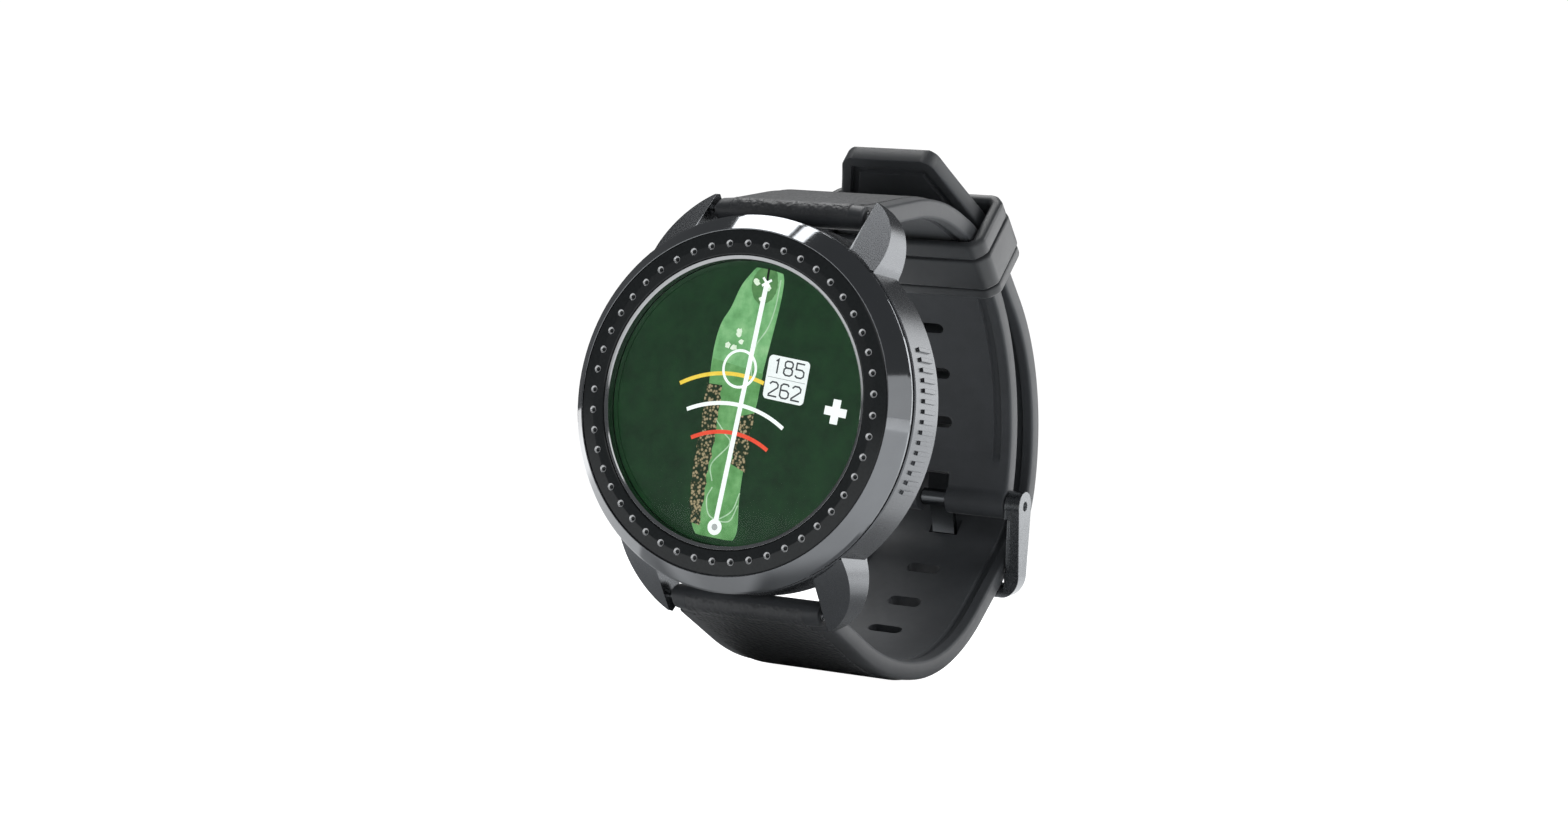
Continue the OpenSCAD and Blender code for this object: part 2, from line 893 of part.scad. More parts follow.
module strap_long() {
  color("#34373b")
    long_side()
      difference() {
        union() {
          strap_body(
            long_face(strap_t / 2), long_face(-strap_t / 2),
            long_face(strap_t / 2 - edge_step), long_face(edge_step - strap_t / 2)
          );
          translate([bar_y, bar_d, 0])
            cylinder(r = strap_eye_r, h = strap_w, center = true);
        }
        eye_cuts(long_head);
        for (i = [0 : hole_count - 1])
          if (i != tang_hole) {
            q = long_at(hole_s0 + i * hole_pitch);
            bend_slot(q[0], q[1], q[2], hole_w, hole_t);
          }
        // the hole that the tang is through, opened along the tang
        tang_finger(0.25, 0.75, tang_w + 0.7);
        // chamfers of the tip
        translate([g_p[0], g_p[1], 0])
          rotate(g_head)
            for (s = [-1, 1])
              rotate([0, -90, 0])
                linear_extrude(8, center = true)
                  polygon([
                    [s * (tip_w / 2), long_g + 1], [s * (tip_w / 2), long_g],
                    [s * (strap_w / 2 + 0.1), long_g - tip_len], [s * (strap_w / 2 + 3), long_g - tip_len],
                    [s * (strap_w / 2 + 3), long_g + 1]
                  ]);
      }
}

// outline of the keeper's wall: a rectangular ring with broken corners
module keeper_section(grow) {
  difference() {
    keeper_rect(
      keeper_front - keeper_front_wall - grow, keeper_rear + keeper_rear_wall + grow,
      keeper_half_x + keeper_wall + grow, 1.3
    );
    keeper_rect(keeper_front, keeper_rear, keeper_half_x, 0.5);
  }
}

module keeper_rect(r0, r1, half, c) {
  polygon([
    [r0, -half + c], [r0 + c, -half], [r1 - c, -half], [r1, -half + c],
    [r1, half - c], [r1 - c, half], [r0 + c, half], [r0, half - c]
  ]);
}

module keeper_band(from, to, grow) {
  translate([0, to, 0])
    rotate([90, 0, 0])
      linear_extrude(to - from)
        keeper_section(grow);
}

// a straight loop of three bands on a thinner core, which shows as the two lines and the two rims
module strap_keeper() {
  top = keeper_low - keeper_len;
  line_2 = keeper_low - keeper_low_len;
  line_1 = line_2 - keeper_mid_len;
  color("#34373b")
    short_side()
      translate([rear_c[0], rear_c[1], 0])
        rotate(rear_from)
          union() {
            keeper_band(top, keeper_low, -keeper_line_depth);
            keeper_band(top + keeper_rim, line_1 - keeper_line / 2, 0);
            keeper_band(line_1 + keeper_line / 2, line_2 - keeper_line / 2, keeper_mid_grow);
            keeper_band(line_2 + keeper_line / 2, keeper_low - keeper_rim, 0);
          }
}

module buckle_pin() {
  color("#b9bcc0")
    short_side()
      translate([pin_pos[0], pin_pos[1], 0])
        cylinder(r = pin_r, h = 2 * pin_half, center = true, $fn = fine_fn);
}

// side view outline of a buckle arm: two round ends and the sloping edges between them
module arm_outline() {
  circle(r = buckle_head_r);
  translate([0, -buckle_len])
    circle(r = buckle_bar_d / 2);
  // the flanks start a hair inside the two circles
  head_x = 0.985 * buckle_head_r;
  foot_x = 0.985 * buckle_bar_d / 2;
  polygon([[head_x, 0], [-head_x, 0], [-foot_x, -buckle_len], [foot_x, -buckle_len]]);
}

// front outline of the buckle: a U with rounded corners
module buckle_u(out_x, foot, c, top) {
  union() {
    translate([-out_x, foot + c])
      square([2 * out_x, top - foot - c]);
    translate([-out_x + c, foot])
      square([2 * (out_x - c), c + 1]);
    for (s = [-1, 1])
      translate([s * (out_x - c), foot + c])
        circle(r = c, $fn = fine_fn);
  }
}

// buckle parts are drawn from the pin: x across, y up the strap, z away from the wrist
module at_buckle() {
  dial()
    translate([0, pin_pos[0], -pin_pos[1]])
      rotate([buckle_tilt, 0, 0])
        children();
}

module buckle_frame() {
  b = buckle_bar_d / 2;
  color("#6d7276")
    at_buckle()
      difference() {
        intersection() {
          union() {
            difference() {
              rotate([0, -90, 0])
                linear_extrude(2 * buckle_out_x, center = true)
                  arm_outline();
              linear_extrude(9, center = true)
                buckle_u(buckle_in_x, -buckle_len, 0.4, 5);
            }
            // the round cross bar
            translate([0, -buckle_len, 0])
              rotate([0, 90, 0])
                cylinder(r = b - 0.01, h = 2 * buckle_in_x + 0.8, center = true);
          }
          linear_extrude(8, center = true)
            buckle_u(buckle_out_x, -buckle_len - b, 3.2, 4);
        }
        rotate([0, 90, 0])
          cylinder(r = pin_r + run_clear, h = 2 * buckle_out_x + 1, center = true, $fn = fine_fn);
        // step along the inner rim of the arms
        for (s = [-1, 1])
          translate([s * (buckle_in_x + 0.3) - 0.4, -buckle_len + 2.6, 0.9])
            cube([0.8, buckle_len - 4.4, 2]);
      }
}

module buckle_tang() {
  color("#8d9094")
    long_side()
      difference() {
        union() {
          translate([-pin_pos[0], pin_pos[1], 0])
            cylinder(r = tang_barrel_r, h = tang_w, center = true, $fn = fine_fn);
          tang_finger(0, 0, tang_w - 0.3);
        }
        translate([-pin_pos[0], pin_pos[1], 0])
          cylinder(r = pin_r + run_clear, h = tang_w + 1, center = true, $fn = fine_fn);
      }
}

bezel_ring();
bezel_insert();
lens_ring();
lens_glass();
lens_gasket();
display_panel();
display_flex();
bezel_seal();
mid_frame();
gps_antenna();
main_board();
shield_can();
board_screws();
battery();
battery_pad();
button_switch();
case_body();
power_button();
button_seal();
button_clip();
case_back_seal();
case_back();
case_back_screws();
contact_carrier();
charge_contacts();
spring_bar_top();
bar_tip_top_left();
bar_tip_top_right();
spring_bar_bottom();
bar_tip_bottom_left();
bar_tip_bottom_right();
strap_short();
strap_long();
strap_keeper();
buckle_pin();
buckle_frame();
buckle_tang();
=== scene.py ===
import json
import math
import random

import bmesh
import bpy
from mathutils import Matrix, Vector


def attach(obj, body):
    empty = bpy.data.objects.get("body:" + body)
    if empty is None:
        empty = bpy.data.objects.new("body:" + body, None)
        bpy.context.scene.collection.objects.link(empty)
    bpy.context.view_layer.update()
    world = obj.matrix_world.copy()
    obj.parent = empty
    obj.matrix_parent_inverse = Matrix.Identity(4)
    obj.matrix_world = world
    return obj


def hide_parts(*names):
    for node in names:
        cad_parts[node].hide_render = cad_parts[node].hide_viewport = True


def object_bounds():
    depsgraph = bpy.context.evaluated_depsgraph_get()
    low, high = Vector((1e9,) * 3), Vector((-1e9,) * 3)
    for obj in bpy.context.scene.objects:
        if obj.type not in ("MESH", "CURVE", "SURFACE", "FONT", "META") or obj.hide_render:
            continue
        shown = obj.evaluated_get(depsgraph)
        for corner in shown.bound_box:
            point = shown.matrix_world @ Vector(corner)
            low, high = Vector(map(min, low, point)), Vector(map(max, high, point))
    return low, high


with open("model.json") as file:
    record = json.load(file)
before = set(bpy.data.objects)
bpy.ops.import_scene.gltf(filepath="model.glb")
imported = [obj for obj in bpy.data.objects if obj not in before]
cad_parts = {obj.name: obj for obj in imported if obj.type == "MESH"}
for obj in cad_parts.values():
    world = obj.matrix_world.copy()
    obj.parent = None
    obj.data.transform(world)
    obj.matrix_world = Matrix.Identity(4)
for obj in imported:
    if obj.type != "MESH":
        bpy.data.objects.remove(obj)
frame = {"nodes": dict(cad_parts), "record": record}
CAD_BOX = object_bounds()
MM = 0.001
# The profiles below are drawn in mm by row height and depth behind the dial; the frame's Y is depth - DEPTH.
DEPTH = 36.0
FULL_TURN = 2 * math.pi


# ---------------------------------------------------------------- camera
CAMERA_AT = (180.5, -357.0, -11.7)
CAMERA_RIGHT = (0.87614, 0.46873, 0.11255)
CAMERA_AHEAD = (-0.47433, 0.87990, 0.02799)
CAMERA_LENS = 71.92
SENSOR_WIDTH = 36.0
CLIP_START = 0.02


def make_camera():
    """The camera at the photograph's angle: place in mm, directions as fitted, squared up here."""
    data = bpy.data.cameras.new("camera")
    data.sensor_width = SENSOR_WIDTH
    data.lens = CAMERA_LENS
    data.clip_start = CLIP_START
    cam = bpy.data.objects.new("camera", data)
    right = Vector(CAMERA_RIGHT).normalized()
    ahead = Vector(CAMERA_AHEAD).normalized()
    up = right.cross(ahead).normalized()
    right = ahead.cross(up).normalized()
    m = Matrix((right, up, -ahead)).transposed().to_4x4()
    m.translation = Vector(CAMERA_AT) * MM
    cam.matrix_world = m
    bpy.context.scene.collection.objects.link(cam)
    bpy.context.scene.camera = cam


make_camera()


# ---------------------------------------------------------------- materials
class Nodes:
    """A small helper round one material's node tree."""

    def __init__(self, name):
        self.mat = bpy.data.materials.new(name)
        self.mat.use_nodes = True
        self.tree = self.mat.node_tree
        self.tree.nodes.clear()
        self.out = self.add("ShaderNodeOutputMaterial")
        self.coord = self.add("ShaderNodeTexCoord").outputs["Object"]

    def add(self, kind, **settings):
        node = self.tree.nodes.new(kind)
        for key, value in settings.items():
            setattr(node, key, value)
        return node

    def link(self, a, b):
        self.tree.links.new(a, b)

    def put(self, node, name, value):
        """value is a number, a colour or another node's output."""
        socket = node.inputs[name]
        if hasattr(value, "is_output"):
            self.link(value, socket)
        elif isinstance(value, (tuple, list)) and len(value) == 3 and len(socket.default_value) == 4:
            socket.default_value = (*value, 1.0)
        else:
            socket.default_value = value
        return node

    def math(self, op, a, b=0.0):
        node = self.add("ShaderNodeMath", operation=op)
        self.put(node, 0, a)
        self.put(node, 1, b)
        return node.outputs[0]

    def smoothstep(self, value, low, high, to_low, to_high):
        """Goes smoothly from to_low to to_high as the value goes from low to high."""
        node = self.add("ShaderNodeMapRange", interpolation_type="SMOOTHSTEP")
        self.link(value, node.inputs["Value"])
        for key, number in (("From Min", low), ("From Max", high), ("To Min", to_low), ("To Max", to_high)):
            self.put(node, key, number)
        return node.outputs["Result"]

    def xyz(self):
        """The object's own coordinates, one by one."""
        part = self.add("ShaderNodeSeparateXYZ")
        self.link(self.coord, part.inputs[0])
        return part.outputs["X"], part.outputs["Y"], part.outputs["Z"]

    def scaled(self, x, y, z):
        """The object's own coordinates, stretched."""
        node = self.add("ShaderNodeMapping")
        self.link(self.coord, node.inputs["Vector"])
        node.inputs["Scale"].default_value = (x, y, z)
        return node.outputs[0]

    def noise(self, per_mm, detail=3.0, rough=0.55, vector=None):
        node = self.add("ShaderNodeTexNoise")
        self.link(vector or self.coord, node.inputs["Vector"])
        self.put(node, "Scale", per_mm * 1000.0)
        self.put(node, "Detail", detail)
        self.put(node, "Roughness", rough)
        return node.outputs["Fac"]

    def cells(self, per_mm, feature="F1", vector=None):
        node = self.add("ShaderNodeTexVoronoi", feature=feature)
        self.link(vector or self.coord, node.inputs["Vector"])
        self.put(node, "Scale", per_mm * 1000.0)
        return node.outputs["Distance"]

    def ramp(self, fac, stops):
        node = self.add("ShaderNodeValToRGB")
        self.link(fac, node.inputs["Fac"])
        els = node.color_ramp.elements
        while len(els) < len(stops):
            els.new(0.5)
        for el, (pos, col) in zip(els, stops):
            el.position = pos
            el.color = (*col, 1.0)
        return node.outputs["Color"]

    def grey(self, fac, low, high):
        """A number between low and high, as the pattern goes from 0 to 1."""
        node = self.add("ShaderNodeMapRange")
        self.link(fac, node.inputs["Value"])
        self.put(node, "To Min", low)
        self.put(node, "To Max", high)
        return node.outputs["Result"]

    def bump(self, height, depth_mm, normal, strength=1.0):
        node = self.add("ShaderNodeBump")
        self.link(height, node.inputs["Height"])
        self.put(node, "Distance", depth_mm * MM)
        self.put(node, "Strength", strength)
        self.link(normal, node.inputs["Normal"])
        return node.outputs["Normal"]

    def soft_edge(self, radius_mm):
        node = self.add("ShaderNodeBevel", samples=4)
        self.put(node, "Radius", radius_mm * MM)
        return node.outputs["Normal"]

    def principled(self, **values):
        node = self.add("ShaderNodeBsdfPrincipled")
        for key, value in values.items():
            self.put(node, key.replace("_", " "), value)
        self.link(node.outputs["BSDF"], self.out.inputs["Surface"])
        return node


def spread_of(colour, less, more):
    """The two ends of a mottled tone round a colour."""
    low = tuple(c * (1 - less) for c in colour)
    high = tuple(min(1.0, c * (1 + more)) for c in colour)
    return [(0.3, low), (0.7, high)]


def metal(name, colour, rough, grain=0.02, edge=0.08, spread=0.12, metallic=1.0):
    """Coated or bare metal: blotchy tone, a fine blasted grain and softened edges."""
    n = Nodes(name)
    blotch = n.noise(0.35, 4.0, 0.6)
    fine = n.noise(14.0, 2.0, 0.6)
    base = n.ramp(blotch, spread_of(colour, spread, spread))
    roughness = n.grey(n.noise(1.3, 3.0, 0.6), rough * 0.88, rough * 1.14)
    normal = n.bump(fine, grain, n.soft_edge(edge), 0.35)
    n.principled(Base_Color=base, Metallic=metallic, Roughness=roughness, Normal=normal)
    return n.mat


# the leather grain's cells are pushed about by up to WARP_BY metres, by a noise of WARP_PER_M
WARP_PER_M = 1500.0
WARP_BY = 0.00035


def rubber(name, colour, rough, grain_per_mm=0.0, grain_mm=0.03, sheen=0.08, edge=0.1):
    """Moulded rubber: a faint tone drift, tiny pores, and where asked a pebbled leather grain."""
    n = Nodes(name)
    drift = n.noise(0.12, 4.0, 0.6)
    pores = n.noise(9.0, 2.0, 0.5)
    base = n.ramp(drift, spread_of(colour, 0.14, 0.16))
    roughness = n.grey(n.noise(0.9, 4.0, 0.65), rough * 0.9, min(1.0, rough * 1.12))
    normal = n.soft_edge(edge)
    if grain_per_mm:
        warp = n.add("ShaderNodeVectorMath", operation="MULTIPLY_ADD")
        wobble = n.add("ShaderNodeTexNoise")
        n.link(n.coord, wobble.inputs["Vector"])
        n.put(wobble, "Scale", WARP_PER_M)
        n.link(wobble.outputs["Color"], warp.inputs[0])
        warp.inputs[1].default_value = (WARP_BY,) * 3
        n.link(n.coord, warp.inputs[2])
        pebble = n.cells(grain_per_mm, "SMOOTH_F1", warp.outputs[0])
        large = n.noise(0.8, 3.0, 0.6)
        normal = n.bump(n.math("ADD", pebble, n.math("MULTIPLY", large, 0.5)), grain_mm, normal, 0.9)
    normal = n.bump(pores, 0.006, normal, 0.5)
    n.principled(Base_Color=base, Roughness=roughness, Normal=normal, Sheen_Weight=sheen,
                 Sheen_Roughness=0.4)
    return n.mat


def brushed(name, colour, rough, grain, edge, spread):
    """Coated metal with a fine grain drawn out along the dial's axis."""
    n = Nodes(name)
    hairs = n.noise(1.0, 3.0, 0.7, n.scaled(9, 1.2, 9))
    blotch = n.noise(0.3, 3.0, 0.6)
    low = tuple(c * (1 - spread) for c in colour)
    high = tuple(c * (1 + spread) for c in colour)
    base = n.ramp(n.math("ADD", n.math("MULTIPLY", hairs, 0.6), n.math("MULTIPLY", blotch, 0.4)),
                  [(0.35, low), (0.65, high)])
    normal = n.bump(hairs, grain, n.soft_edge(edge), 0.4)
    n.principled(Base_Color=base, Metallic=1.0, Normal=normal,
                 Roughness=n.grey(hairs, rough * 0.94, rough * 1.06))
    return n.mat


def dimpled(name, ring_r, count, inner, outer):
    """Black insert. The walls of its ring of dimples, between the radii inner and outer, get a light grey,
    half metal colour: partly real reflection, partly a painted highlight for their bright rims.
    """
    n = Nodes(name)

    def distance(a, b):
        return n.math("SQRT", n.math("ADD", n.math("MULTIPLY", a, a), n.math("MULTIPLY", b, b)))

    x, _, z = n.xyz()
    turn = n.math("MULTIPLY", n.math("ARCTAN2", z, x), count / FULL_TURN)
    cell = n.math("SUBTRACT", turn, n.math("ROUND", turn))
    along = n.math("MULTIPLY", cell, FULL_TURN * ring_r * MM / count)
    out = n.math("SUBTRACT", distance(x, z), ring_r * MM)
    away = distance(along, out)
    wall = n.math("MULTIPLY", n.math("GREATER_THAN", away, inner * MM),
                  n.math("LESS_THAN", away, outer * MM))
    specks = n.noise(3.0, 3.0, 0.6)
    black = n.ramp(specks, [(0.3, (0.019, 0.0215, 0.0225)), (0.7, (0.024, 0.027, 0.0285))])
    # painted highlight: the dimple walls get a light grey colour and are partly metal, so each dimple shows a
    # bright rim
    bare = n.ramp(n.noise(5.0), [(0.3, (0.62, 0.63, 0.64)), (0.7, (0.7, 0.71, 0.72))])
    mix = n.add("ShaderNodeMix", data_type="RGBA")
    n.link(wall, mix.inputs["Factor"])
    n.link(black, mix.inputs[6])
    n.link(bare, mix.inputs[7])
    n.principled(Base_Color=mix.outputs[2], Metallic=n.math("MULTIPLY", wall, 0.55),
                 Roughness=n.math("ADD", n.grey(n.noise(0.6), 0.12, 0.18), n.math("MULTIPLY", wall, 0.12)),
                 Normal=n.soft_edge(0.03), Specular_IOR_Level=0.34)
    return n.mat


# how much of a lit colour the display's surface shows by itself
UNLIT_SHARE = 0.3


def lit(name, stops, per_mm=1.0, detail=4.0, rough=0.6, speckled=False):
    """A piece of the display's picture: its own colour, lit from behind, with a fine pattern."""
    n = Nodes(name)
    vector = n.scaled(1, 0, 1)
    if speckled:
        fac, unlit = n.cells(per_mm, "F1", vector), stops[-1][1]
    else:
        fac, unlit = n.noise(per_mm, detail, rough, vector), stops[0][1]
    n.principled(Base_Color=tuple(c * UNLIT_SHARE for c in unlit), Roughness=0.4,
                 Emission_Color=n.ramp(fac, stops), Emission_Strength=1.0)
    return n.mat


MATS = {}


# name: colour, roughness, grain depth, softened edge, spread of tone, metallic
METALS = {
    "back_metal": ((0.25, 0.26, 0.27), 0.3, 0.02, 0.08, 0.08),
    "polished_steel": ((0.52, 0.53, 0.54), 0.1, 0.002, 0.04, 0.04),
    "can_steel": ((0.5, 0.51, 0.52), 0.3, 0.02, 0.05),
    "bar_steel": ((0.5, 0.51, 0.52), 0.22, 0.01, 0.05),
    "buckle_steel": ((0.225, 0.235, 0.245), 0.27, 0.002, 0.18, 0.05),
    "tang_steel": ((0.17, 0.178, 0.186), 0.24, 0.002, 0.16, 0.06),
    "antenna_brass": ((0.72, 0.55, 0.25), 0.3, 0.01, 0.04),
    "contact_gold": ((0.83, 0.64, 0.3), 0.2, 0.01, 0.05),
    "cell_foil": ((0.55, 0.56, 0.57), 0.38, 0.05, 0.3),
    "flex_copper": ((0.4, 0.18, 0.06), 0.4, 0.01, 0.03, 0.15, 0.2),
}
# name: colour, roughness, leather cells per mm, their depth, sheen, softened edge
RUBBERS = {
    "inner_plastic": ((0.035, 0.037, 0.04), 0.5, 0.0, 0.0, 0.0, 0.08),
    "black_rubber": ((0.012, 0.012, 0.012), 0.55),
    "foam_pad": ((0.45, 0.43, 0.36), 0.9, 3.0, 0.05, 0.2),
    "strap_rubber": ((0.052, 0.056, 0.061), 0.46, 0.0, 0.0, 0.08, 0.12),
    "strap_grain": ((0.062, 0.065, 0.069), 0.48, 2.0, 0.18, 0.08, 0.12),
    "strap_inner": ((0.053, 0.058, 0.064), 0.6, 0.0, 0.0, 0.08, 0.1),
    "keeper_rubber": ((0.054, 0.058, 0.062), 0.36, 0.0, 0.0, 0.05, 0.18),
}
# name: (stops of the noise), noise per mm, detail, roughness of the noise, speckled
LIT = {
    "map_ground": ([(0.3, (0.003, 0.016, 0.005)), (0.5, (0.006, 0.03, 0.01)), (0.72, (0.01, 0.048, 0.014))],
                   0.3, 9.0, 0.75),
    "map_fairway": ([(0.3, (0.09, 0.26, 0.09)), (0.5, (0.18, 0.43, 0.18)), (0.7, (0.32, 0.58, 0.29))],
                    0.4, 5.0, 0.6),
    "map_fairway_low": ([(0.3, (0.07, 0.21, 0.06)), (0.5, (0.12, 0.32, 0.11)), (0.7, (0.2, 0.44, 0.18))],
                        0.5, 6.0, 0.65),
    "map_rough": ([(0.3, (0.05, 0.16, 0.05)), (0.7, (0.12, 0.27, 0.1))], 0.8),
    "map_trees": ([(0.32, (0.4, 0.32, 0.19)), (0.46, (0.1, 0.09, 0.045)), (0.6, (0.008, 0.022, 0.008))],
                  2.7, 4.0, 0.6, True),
    "map_sand": ([(0.3, (0.6, 0.75, 0.55)), (0.7, (0.85, 0.9, 0.8))], 1.5),
    "map_path": ([(0.3, (0.3, 0.5, 0.3)), (0.7, (0.5, 0.66, 0.48))],),
    "map_white": ([(0.3, (0.86, 0.9, 0.88)), (0.7, (0.95, 0.97, 0.96))],),
    "map_plate": ([(0.3, (0.8, 0.84, 0.84)), (0.7, (0.88, 0.91, 0.91))],),
    "map_ink": ([(0.3, (0.04, 0.045, 0.05)), (0.7, (0.07, 0.075, 0.08))],),
    "map_line": ([(0.3, (0.35, 0.37, 0.37)), (0.7, (0.42, 0.44, 0.44))],),
    "map_yellow": ([(0.3, (0.8, 0.55, 0.05)), (0.7, (0.9, 0.66, 0.1))],),
    "map_red": ([(0.3, (0.75, 0.06, 0.03)), (0.7, (0.85, 0.1, 0.05))],),
    "map_black": ([(0.3, (0.004, 0.005, 0.004)), (0.7, (0.008, 0.01, 0.008))],),
}


def build_materials():
    m = MATS
    m["gunmetal"] = metal("gunmetal", (0.25, 0.26, 0.272), 0.07, 0.0015, 0.11, 0.03)
    m["case_metal"] = brushed("case_metal", (0.165, 0.172, 0.181), 0.27, 0.0006, 0.07, 0.03)
    for name, values in METALS.items():
        m[name] = metal(name, *values)
    for name, values in RUBBERS.items():
        m[name] = rubber(name, *values)

    m["bezel_black"] = dimpled("bezel_black", 18.84, 48, 0.26, 0.43)

    n = Nodes("lens_glass")
    clear = n.add("ShaderNodeBsdfTransparent")
    n.put(clear, "Color", (0.97, 0.985, 0.98))
    gloss = n.add("ShaderNodeBsdfGlossy")
    n.put(gloss, "Roughness", n.grey(n.noise(0.2), 0.02, 0.035))
    facing = n.add("ShaderNodeLayerWeight")
    mirror = n.math("MULTIPLY", n.math("POWER", facing.outputs["Facing"], 5.0), 0.9)
    mix = n.add("ShaderNodeMixShader")
    n.link(n.math("ADD", mirror, 0.006), mix.inputs[0])
    n.link(clear.outputs[0], mix.inputs[1])
    n.link(gloss.outputs[0], mix.inputs[2])
    n.link(mix.outputs[0], n.out.inputs["Surface"])
    m["lens_glass"] = n.mat

    n = Nodes("board_green")
    weave = n.cells(1.2)
    n.principled(Base_Color=n.ramp(weave, [(0.1, (0.02, 0.12, 0.05)), (0.8, (0.03, 0.17, 0.08))]),
                 Roughness=0.35, Normal=n.bump(n.noise(5.0), 0.01, n.soft_edge(0.05)))
    m["board_green"] = n.mat

    n = Nodes("display")
    n.principled(Base_Color=n.ramp(n.noise(1.0), [(0.3, (0.004, 0.006, 0.005)), (0.7, (0.006, 0.01, 0.008))]),
                 Roughness=0.3)
    m["display"] = n.mat

    for name, values in LIT.items():
        m[name] = lit(name, *values)


build_materials()


def dress_cad_nodes():
    slots = {s["node"]: s["material_slot"] for s in frame["record"]["subparts"]}
    for name, obj in frame["nodes"].items():
        mat = MATS[slots[name]]
        if not obj.data.materials:
            obj.data.materials.append(mat)
        for i in range(len(obj.data.materials)):
            obj.data.materials[i] = mat


dress_cad_nodes()


# ---------------------------------------------------------------- straps
def turned(c, r, a):
    return (c[0] + r * math.cos(math.radians(a)), c[1] + r * math.sin(math.radians(a)))


class Path:
    """A strap's centre line in its side view: straights and bends, each going on from the last."""

    def __init__(self, start, head, runs):
        self.parts = []
        at, s = start, 0.0
        for length, radius in runs:
            self.parts.append((s, s + length, at, head, radius))
            at, head = self._step(at, head, radius, length)
            s += length
        self.length = s

    @staticmethod
    def _step(at, head, radius, d):
        if not radius:
            t = math.radians(head)
            return (at[0] - d * math.sin(t), at[1] + d * math.cos(t)), head
        c = turned(at, -radius, head)
        new = head + math.degrees(d / radius)
        return turned(c, radius, new), new

    def at(self, s):
        """(point, heading) at a distance along the line; the heading is the outward normal's angle."""
        for s0, s1, at, head, radius in self.parts:
            if s <= s1 or s1 == self.length:
                return self._step(at, head, radius, s - s0)

    def place(self, s, x, n, sign):
        """Row position of a point x across and n out from the centre line. sign is -1 on the lower strap."""
        if s < 0:
            (h, d), head = self.at(0.0)
            t = math.radians(head)
            h, d = h - s * math.sin(t), d + s * math.cos(t)
        else:
            (h, d), head = self.at(s)
        h, d = turned((h, d), n, head)
        return Vector((x, d - DEPTH, sign * h)) * MM


def arc(radius, turn):
    return (radius * math.radians(turn), radius)


# the spring bars: row height and depth, and the hole for them
BAR = (23.8, 10.4)
BAR_HOLE_R = 0.8
# the straps' half width and half thickness, the eye round each spring bar and the head that holds the pin
HALF = 10.7
THICK = 1.3
EYE_R = 1.6
EYE_HALF = 10.1
EYE_END = 2.16
HEAD_R = 1.9
PIN_HOLE_R = 0.62
HOLE_HALF = 12
SLOT_REACH = 2.6
# the slots in the short strap's rear bend: their headings and size, and where its channel ends
SLOT_HEADINGS = (39.9, 52.0, 64.1, 76.2)
SLOT_SIZE = (4.0, 1.5)
CHANNEL_END = 84.5
REAR_R = 33.0
SHORT = Path(BAR, -13.2, [(12.0299, 0), arc(30.0, 25.3), (2.3, 0), arc(12.0, 26.8), (5.6324, 0),
                          arc(REAR_R, 55.4)])
# the rear bend of the short strap: heading at its start, its centre, and its distance along the strap
REAR = 38.9
REAR_C = turned(SHORT.parts[5][2], -REAR_R, REAR)
REAR_S = SHORT.parts[5][0]
LONG = Path(BAR, -20.5, [(11.5, 0), arc(39.3, 24.5), arc(25.5, 41), (11.4, 0), arc(14.3, 45),
                         arc(29.2204, 52.5), (26.6, 0)])
ROW_STEP = 0.55
# distances in from a strap's edge: the step up to the outer face's raised panel, where its leather grain
# begins, the inner face's channel from wall to wall, and all the columns of points; CORE is shares of the rest
PANEL_LOW, PANEL_HIGH = 1.95, 2.12
PANEL_GRAIN = 2.03
CHANNEL = (1.4, 1.56, 2.46, 2.58)
# how far the faces fall: the outer face's rim and its slope, and the inner face's middle beside a full channel
RIM_DROP, RIM_SLOPE = 0.1, 0.16
MIDDLE_DROP, FULL_CHANNEL = 0.1, 0.4
# rounding of the outer and the inner edges, and how much more of it there is away from the tip
OUTER_EDGE, OUTER_MORE = 0.3, 0.1
INNER_EDGE, INNER_MORE = 0.13, 0.22
RIM = [0.0, 0.06, 0.16, 0.3, 0.45, 0.9, 1.4, 1.48, 1.56, 1.72, 1.86, 1.95, 2.03, 2.12, 2.3, 2.46, 2.58, 2.7]
CORE = [0.18, 0.36, 0.52, 0.68, 0.84]


def smooth(t):
    t = min(1.0, max(0.0, t))
    return t * t * (3 - 2 * t)


def smooth_max(a, b, k):
    h = max(k - abs(a - b), 0.0) / k
    return max(a, b) + h * h * k * 0.25


def round_drop(o, r):
    """How far a face has fallen at distance o in from an edge rounded to r."""
    if o >= r:
        return 0.0
    return r - math.sqrt(max(r * r - (r - o) ** 2, 0.0))


